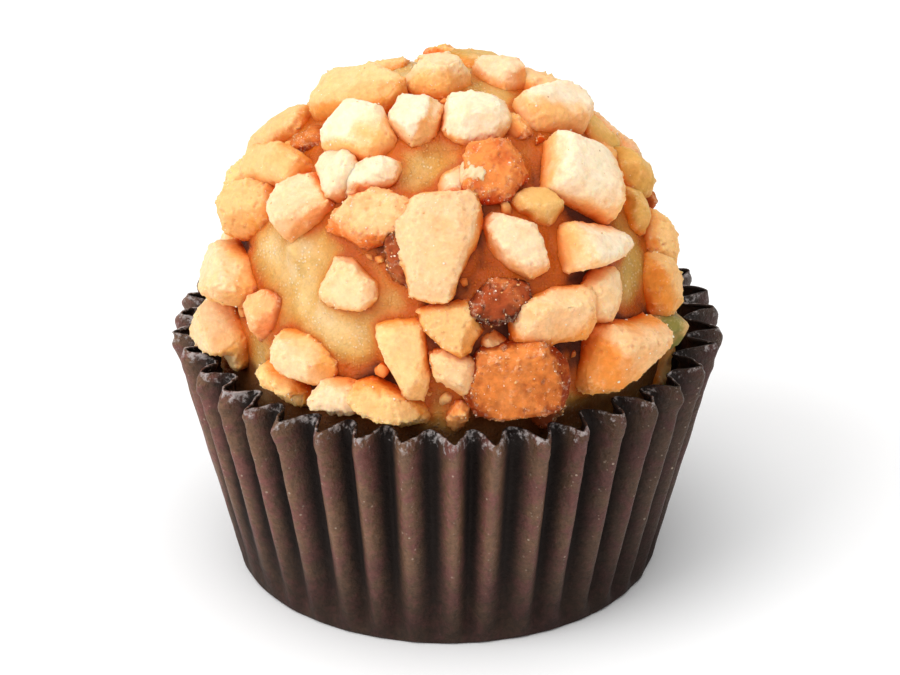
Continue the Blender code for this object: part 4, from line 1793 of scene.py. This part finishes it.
def foot_tree(ball: Ball, coat: Coat) -> KDTree:
    """The points where the nut pieces enter the sweet, in a tree that finds the nearest.

    Args:
        ball: The bare sweet.
        coat: The nut pieces.

    Returns:
        The tree.
    """
    feet = []
    for _, surface in coat:
        over = ball.height_over(surface.points)
        feet.append(surface.points[np.abs(over) < FOOT_BAND])
    feet = np.concatenate(feet)
    tree = KDTree(len(feet))
    for index, foot in enumerate(feet):
        tree.insert(foot, index)
    tree.balance()
    return tree


@dataclass(frozen=True)
class SweetFinish:
    """Soft caramel-beige sweet: satin, a little see-through, grainy with sugar and painted glints, with a
    painted sheen in patches, and painted shade beside the nuts, in the gaps and low in the case.
    """

    golden: Colour = colour(226, 180, 104)
    beige: Colour = colour(240, 204, 142)
    olive: Colour = colour(214, 178, 98)
    shadow: Colour = (0.8, 0.54, 0.22)
    gap_shade: Colour = (0.84, 0.32, 0.03)
    deepest_shade: Colour = colour(104, 44, 8)
    narrow_gap_shade: Colour = (0.3, 0.2, 0.2)
    sugar_and_glints: Colour = colour(255, 240, 208)
    bloom_and_sheen: Colour = colour(240, 220, 186)
    clouds: Clouds = Clouds(3.4 * MM, 3)
    patches: Clouds = Clouds(0.9 * MM, 3, 0.6)
    grain: Clouds = Clouds(0.2 * MM, 3, 0.6)
    sugary: Clouds = Clouds(2.4 * MM, 2)
    bloom_and_sheen_clouds: Clouds = Clouds(3.0 * MM, 3, 0.6)
    sugar_grains: Specks = Specks(0.24 * MM, 0.45, 0.6)
    beige_rise: Span = (0.35, 0.68)
    olive_rise: Span = (0.3, 0.95)
    sugar_and_glint_rise: Span = (0.36, 0.58)
    bloom_and_sheen_rise: Span = (0.5, 0.72)
    shadow_rise: Span = (0.05, 0.7)
    gap_shade_rise: Span = (0.46, 1.08)
    deepest_shade_rise: Span = (0.6, 1.0)
    narrow_gap_shade_rise: Span = (0.68, 0.94)
    bloom_and_sheen_share: float = 0.42
    sugar_and_glint_share: float = 0.6
    shadow_share: float = 0.9
    gap_shade_share: float = 0.95
    deepest_shade_share: float = 0.9
    narrow_gap_shade_share: float = 0.8
    roughness: float = 0.3
    specular: float = 0.25
    grain_depth: float = 0.2 * MM
    inside: SoftInside = SoftInside(0.4, (1.0, 0.65, 0.3), 0.7 * MM)

    def material(self) -> bpy.types.Material:
        """The finish as a material."""
        graph = Graph("caramel sweet")
        near, deep, turned, low = (graph.attribute(name) for name in ("near", "deep", "turned", "low"))
        clouds, patches, grain = (graph.noise(noise) for noise in (self.clouds, self.patches, self.grain))
        base = graph.blend(graph.rise(clouds, *self.beige_rise), self.golden, self.beige)
        # The sweet turns more olive towards its right side, partly painted shade.
        base = graph.blend(graph.rise(graph.uneven(turned, clouds, 0.4), *self.olive_rise), base, self.olive)
        light = 0.81 + 0.12 * graph.rise(grain, 0.34, 0.66) + 0.14 * graph.rise(patches, 0.3, 0.7)
        base = graph.brighten(base, light)
        # Pale sugar bloom in patches, which also stands in for a painted sheen.
        bloom_and_sheen = graph.rise(graph.noise(self.bloom_and_sheen_clouds), *self.bloom_and_sheen_rise)
        base = graph.blend(bloom_and_sheen * self.bloom_and_sheen_share, base, self.bloom_and_sheen)
        # Pale sugar grains in patches, which also stand in for painted glints.
        sugar_and_glints = graph.specks(self.sugar_grains) * graph.rise(graph.noise(self.sugary), *self.sugar_and_glint_rise)
        base = graph.blend(sugar_and_glints * self.sugar_and_glint_share, base, self.sugar_and_glints)
        # Painted shade beside the nuts and in the gaps: first a soft shadow, then a deep orange further down.
        level = graph.uneven(0.65 * near + 1.3 * deep, patches, 0.3)
        base = graph.tint(graph.rise(level, *self.shadow_rise) * self.shadow_share, base, self.shadow)
        base = graph.tint(graph.rise(level, *self.gap_shade_rise) * self.gap_shade_share, base, self.gap_shade)
        # Painted shade: the sweet turns dark brown in the deepest gaps and low inside the case, and is
        # rougher there.
        hidden = graph.rise(deep + 0.9 * low, *self.deepest_shade_rise)
        base = graph.blend(hidden * self.deepest_shade_share, base, self.deepest_shade)
        # Painted shade: the narrowest gaps darken further.
        base = graph.tint(graph.rise(deep, *self.narrow_gap_shade_rise) * self.narrow_gap_shade_share, base, self.narrow_gap_shade)
        height = 0.6 * grain + 0.4 * patches + 0.3 * sugar_and_glints
        return graph.finish(
            {
                "Base Color": base,
                "Roughness": graph.uneven(self.roughness, grain, 0.15) + 0.3 * hidden,
                "Normal": graph.bump(height, self.grain_depth),
                "Specular IOR Level": self.specular,
                **self.inside.inputs(),
            }
        )


@dataclass(frozen=True)
class SoftSweet:
    """The sweet itself, with a soft bank of it drawn up round the foot of each nut piece."""

    ball: Ball
    case: PaperCase
    columns: int = 400
    shown_rows: int = 108
    hidden_rows: int = 16
    shown_down: float = 106.0
    bank_height: float = 0.3 * MM
    bank_width: float = 0.55 * MM
    near_width: float = 0.45 * MM
    broad_lumps: float = 0.3 * MM
    fine_lumps: float = 0.08 * MM
    broad_lump_size: float = 4.4 * MM
    fine_lump_size: float = 1.2 * MM
    smooth_below: float = 118.0
    # How far below and above the rim the painted shade low in the case fades in.
    dark_below: float = 1.5 * MM
    dark_above: float = 2.0 * MM
    swell_share: float = 0.36
    seed: int = 7
    finish: SweetFinish = SweetFinish()

    def bare(self) -> tuple[np.ndarray, int]:
        """The points of the smooth sweet, ring after ring from the top, then its poles; and its rings."""
        shown = np.linspace(0, self.shown_down, self.shown_rows + 1)[1:]
        hidden = np.linspace(self.shown_down, 180, self.hidden_rows + 1)[1:-1]
        downs = np.concatenate([shown, hidden])
        heights = np.array([self.ball.height_down(down) for down in downs])
        radii = np.array([self.ball.radius_at(height) for height in heights])
        bearing = np.arange(self.columns) * math.tau / self.columns
        radius, height = np.repeat(radii, self.columns), np.repeat(heights, self.columns)
        turn = np.tile(bearing, len(downs))
        ring = np.stack([radius * np.sin(turn), -radius * np.cos(turn), height], axis=1)
        return np.concatenate([ring, [[0, 0, self.ball.top], [0, 0, self.ball.bottom]]]), len(downs)

    def raised(self, points: np.ndarray, gap: np.ndarray) -> np.ndarray:
        """How far the sweet stands out over its smooth shape.

        Args:
            points: The points of the smooth sweet.
            gap: How far each of them is from the nearest nut piece.

        Returns:
            The height at each point.
        """
        grain = Grain(self.seed)
        push = self.bank_height * hump(gap, 0.0, self.bank_width)
        push += self.broad_lumps * grain.lumps(points, self.broad_lump_size)
        push += self.fine_lumps * grain.layers(points, self.fine_lump_size, 3)
        for nut in (nut for nut in PLACED_NUTS if nut.buried):
            middle = np.array(self.ball.seat(nut.around, nut.down).translation)
            away = np.linalg.norm(points - middle, axis=1)
            push += nut.rise * MM * hump(away, 0.0, self.swell_share * nut.length * MM)
        up = (points[:, 2] - self.ball.middle) / self.ball.radius
        return push * smooth_step(math.cos(math.radians(self.smooth_below)), 0.0, up)

    def build(self, coat: Coat, relief: Relief) -> bpy.types.Object:
        """The sweet as a piece.

        Args:
            coat: The nut pieces, which the sweet rises round.
            relief: The height of the coat, for the painted shade in its gaps.

        Returns:
            The piece.
        """
        points, rows = self.bare()
        outward = points - np.array([0, 0, self.ball.middle])
        outward /= np.linalg.norm(outward, axis=1, keepdims=True)
        tree = foot_tree(self.ball, coat)
        gap = np.array([tree.find(point)[2] for point in points])
        points = points + outward * self.raised(points, gap)[:, None]
        bottom = len(points) - 1
        top_cap = cap_faces(0, self.columns, bottom - 1)[:, ::-1]
        bottom_cap = cap_faces((rows - 1) * self.columns, self.columns, bottom)
        rim = self.case.height
        values = {
            "near": np.exp(-np.maximum(gap, 0) / self.near_width),
            "deep": relief.depth(points),
            "turned": points[:, 0] / self.ball.radius,
            # Painted shade low in the case: the sweet below the rim.
            "low": 1 - smooth_step(rim - self.dark_below, rim + self.dark_above, points[:, 2]),
        }
        quads = ring_faces(rows, self.columns)
        surface = Surface(points, quads, np.concatenate([top_cap, bottom_cap]), values)
        piece = new_piece("soft_sweet", surface, self.finish.material())
        turn_outward(piece)
        return piece


@dataclass(frozen=True)
class NutBits:
    """Bits of nut too small for the solids, few between the front pieces, more at the sides and back."""

    ball: Ball
    seed: int = 87
    tries: int = 2600
    smallest: float = 0.25 * MM
    largest: float = 0.8 * MM
    room: float = 0.5
    front_share: float = 0.3
    front_half: float = 70.0
    crown_down: float = 30.0
    crowded_depth: float = 0.6
    lowest: float = 99.0
    sink: float = 0.25
    widths: Span = (0.6, 0.95)
    rises: Span = (0.55, 0.85)
    rounds: int = 2

    def build(self, coat: Coat, relief: Relief) -> bpy.types.Object:
        """The bits as one piece.

        Args:
            coat: The nut pieces, which the bits lie between.
            relief: The height of the coat, which says where the sweet is bare.

        Returns:
            The piece.
        """
        draw = random.Random(self.seed)
        lump = round_lump(self.rounds)
        tree = foot_tree(self.ball, coat)
        taken: list[tuple[Vector, float]] = []
        bits = []
        for _ in range(self.tries):
            around, down = scattered_place(draw, self.lowest)
            size = self.smallest + (self.largest - self.smallest) * draw.random() ** 1.5
            chance = draw.random()
            seat = self.ball.seat(around, down)
            spot = seat.translation
            shown = abs(around) < self.front_half or down < self.crown_down
            free = all((spot - other).length > size + other_size for other, other_size in taken)
            clear = tree.find(spot)[2] > self.room * size and relief.bare(np.array([spot]))[0]
            crowded = relief.depth(np.array([spot]))[0] > self.crowded_depth
            if free and clear and (not shown or crowded and chance < self.front_share):
                taken.append((spot, size))
                bits.append(self.bit(draw, lump, seat, size))
        surface = joined(bits)
        surface.values["deep"] = relief.depth(surface.points)
        return new_piece("small_nut_bits", surface, NutFinish("small nut bits").material())

    def bit(
        self,
        draw: random.Random,
        lump: tuple[np.ndarray, np.ndarray],
        seat: Matrix,
        size: float,
    ) -> Surface:
        """One chipped bit, sunk a little in the sweet.

        Args:
            draw: The numbers that it is drawn from.
            lump: The points and the faces of a round lump of radius 1.
            seat: Its frame on the sweet.
            size: Its radius.

        Returns:
            Its surface.
        """
        round_points, faces = lump
        grain = Grain(draw.randrange(10000))
        chips = 0.35 * grain.chips(round_points + 3, 1.0)
        chipped = round_points * (1 + chips + 0.15 * grain.lumps(round_points, 0.9))[:, None]
        turn = Matrix.Rotation(draw.uniform(0, math.tau), 3, "Z")
        stretch = np.array([1.0, draw.uniform(*self.widths), draw.uniform(*self.rises)])
        local = (chipped * stretch * size) @ np.array(turn).T + np.array([0, 0, self.sink * size])
        points = local @ np.array(seat.to_3x3()).T + np.array(seat.translation)
        values = {
            **tone_colours(draw.choice(BIT_TONES), TONE_SHARE, len(points)),
            "cut": smooth_step(-0.1, 0.8, round_points[:, 2] + 0.3 * grain.lumps(round_points, 0.8)),
            "foot": 1 - smooth_step(-0.2, 0.7, local[:, 2] / size),
            "edge": np.zeros(len(points)),
        }
        return Surface(points, NO_QUADS, faces, values)


@dataclass(frozen=True)
class CrumbFinish:
    """Fine pale crumbs of nut."""

    pale: Colour = colour(255, 238, 212)
    tan: Colour = colour(232, 174, 108)
    grain: Clouds = Clouds(0.12 * MM, 2)
    grain_depth: float = 0.03 * MM
    tan_rise: Span = (0.2, 0.8)
    roughness: float = 0.4
    inside: SoftInside = SoftInside(0.3, (1.0, 0.6, 0.35), 0.3 * MM)

    def material(self) -> bpy.types.Material:
        """The finish as a material."""
        graph = Graph("nut crumbs")
        grain = graph.noise(self.grain)
        base = graph.blend(graph.rise(graph.attribute("tan"), *self.tan_rise), self.pale, self.tan)
        return graph.finish(
            {
                "Base Color": graph.brighten(base, 0.88 + 0.24 * grain),
                "Roughness": self.roughness + 0.2 * grain,
                "Normal": graph.bump(grain, self.grain_depth),
                **self.inside.inputs(),
            }
        )


@dataclass(frozen=True)
class Crumbs:
    """The fine crumbs that chopping leaves on the pieces."""

    seed: int = 61
    count: int = 1900
    smallest: float = 0.035 * MM
    largest: float = 0.11 * MM
    stretches: Span = (0.5, 1.3)
    bumps: Span = (0.7, 1.2)
    lowest_foot: float = 0.6
    flat_chance: float = 0.15
    rounds: int = 1
    finish: CrumbFinish = CrumbFinish()

    def build(self, coat: Coat) -> bpy.types.Object:
        """The crumbs as one piece.

        Args:
            coat: The nut pieces that they lie on.

        Returns:
            The piece.
        """
        draw = np.random.default_rng(self.seed)
        lump, faces = round_lump(self.rounds)
        grains = []
        weights = np.array([nut.tone.rough**3 * len(surface.points) for nut, surface in coat])
        lots = draw.choice(len(coat), self.count, p=weights / weights.sum())
        for lot in lots:
            _, surface = coat[lot]
            high = surface.values["foot"] < self.lowest_foot
            chance = high * (self.flat_chance + np.maximum(surface.values["edge"], 0))
            if chance.sum() == 0:
                continue
            spot = draw.choice(len(chance), p=chance / chance.sum())
            size = self.smallest + (self.largest - self.smallest) * draw.random() ** 3
            stretch = draw.uniform(*self.stretches, 3)
            lumps = lump * stretch * draw.uniform(*self.bumps, (len(lump), 1)) * size
            tan = np.full(len(lump), draw.random())
            grains.append(Surface(surface.points[spot] + lumps, NO_QUADS, faces, {"tan": tan}))
        return new_piece("nut_crumbs", joined(grains), self.finish.material())


class Sun(NamedTuple):
    """A soft distant light: its name, its strength, how broad it looks, and its turn about each axis."""

    name: str
    strength: float
    softness: float
    turn: Triple


@dataclass(frozen=True)
class Studio:
    """The camera, the pale floor and the soft light. Angles are in degrees, but for the tilt."""

    tilt: float = CAMERA_TILT
    distance: float = 350 * MM
    look: Triple = (0.22 * MM, 0.0, 17.2 * MM)
    sensor: float = 36.0
    lens: float = 189.1
    clear_from: float = 10 * MM
    floor_width: float = 3.0
    floor_drop: float = 0.02 * MM
    floor_colour: Colour = (0.98, 0.98, 0.98)
    floor_roughness: float = 0.9
    surround: float = 0.58
    suns: tuple[Sun, ...] = (
        Sun("overhead", 1.42, 60, (14, 0, -30)),
        Sun("front left", 1.36, 44, (54, 0, -58)),
    )

    def add_camera(self) -> None:
        """Puts the camera where the photograph was taken from."""
        data = bpy.data.cameras.new("camera")
        data.sensor_width = self.sensor
        data.lens = self.lens
        data.clip_start = self.clear_from
        camera = linked("camera", data)
        ahead = Vector((0, math.cos(self.tilt), -math.sin(self.tilt)))
        camera.location = Vector(self.look) - ahead * self.distance
        camera.rotation_euler = (math.pi / 2 - self.tilt, 0, 0)
        bpy.context.scene.camera = camera

    def add_floor(self) -> None:
        """Adds the plain pale floor, a hair under the case."""
        half = self.floor_width / 2
        corners = ((-half, -half), (half, -half), (half, half), (-half, half))
        mesh = bpy.data.meshes.new("floor")
        mesh.from_pydata([(x, y, -self.floor_drop) for x, y in corners], [], [(0, 1, 2, 3)])
        floor = linked("floor", mesh)
        inputs = {"Base Color": self.floor_colour, "Roughness": self.floor_roughness}
        mesh.materials.append(Graph("pale floor").finish(inputs))

    def add_light(self) -> None:
        """An even white surround, a soft light overhead and one from the front left."""
        world = bpy.data.worlds.new("surround")
        bpy.context.scene.world = world
        world.use_nodes = True
        background = world.node_tree.nodes["Background"]
        background.inputs["Color"].default_value = (1.0, 1.0, 1.0, 1.0)
        background.inputs["Strength"].default_value = self.surround
        for sun in self.suns:
            data = bpy.data.lights.new(sun.name, "SUN")
            data.energy = sun.strength
            data.angle = math.radians(sun.softness)
            linked(sun.name, data).rotation_euler = [math.radians(angle) for angle in sun.turn]

    def build(self) -> None:
        """Adds all of it, and shows colours as they are."""
        self.add_camera()
        self.add_floor()
        self.add_light()
        bpy.context.scene.view_settings.view_transform = "Standard"
        bpy.context.scene.view_settings.exposure = 0.0


def main() -> None:
    """Builds every piece in order."""
    logging.basicConfig(level=logging.INFO, format="%(name)s %(message)s")
    Studio().build()
    case, ball = PaperCase(), Ball()
    case.build()
    nuts = NutCoat(ball, case)
    coat = nuts.shaped()
    relief = Relief(ball, [surface for _, surface in coat])
    nuts.build(coat, relief)
    SoftSweet(ball, case).build(coat, relief)
    NutBits(ball).build(coat, relief)
    Crumbs().build(coat)


if __name__ == "__main__":
    main()
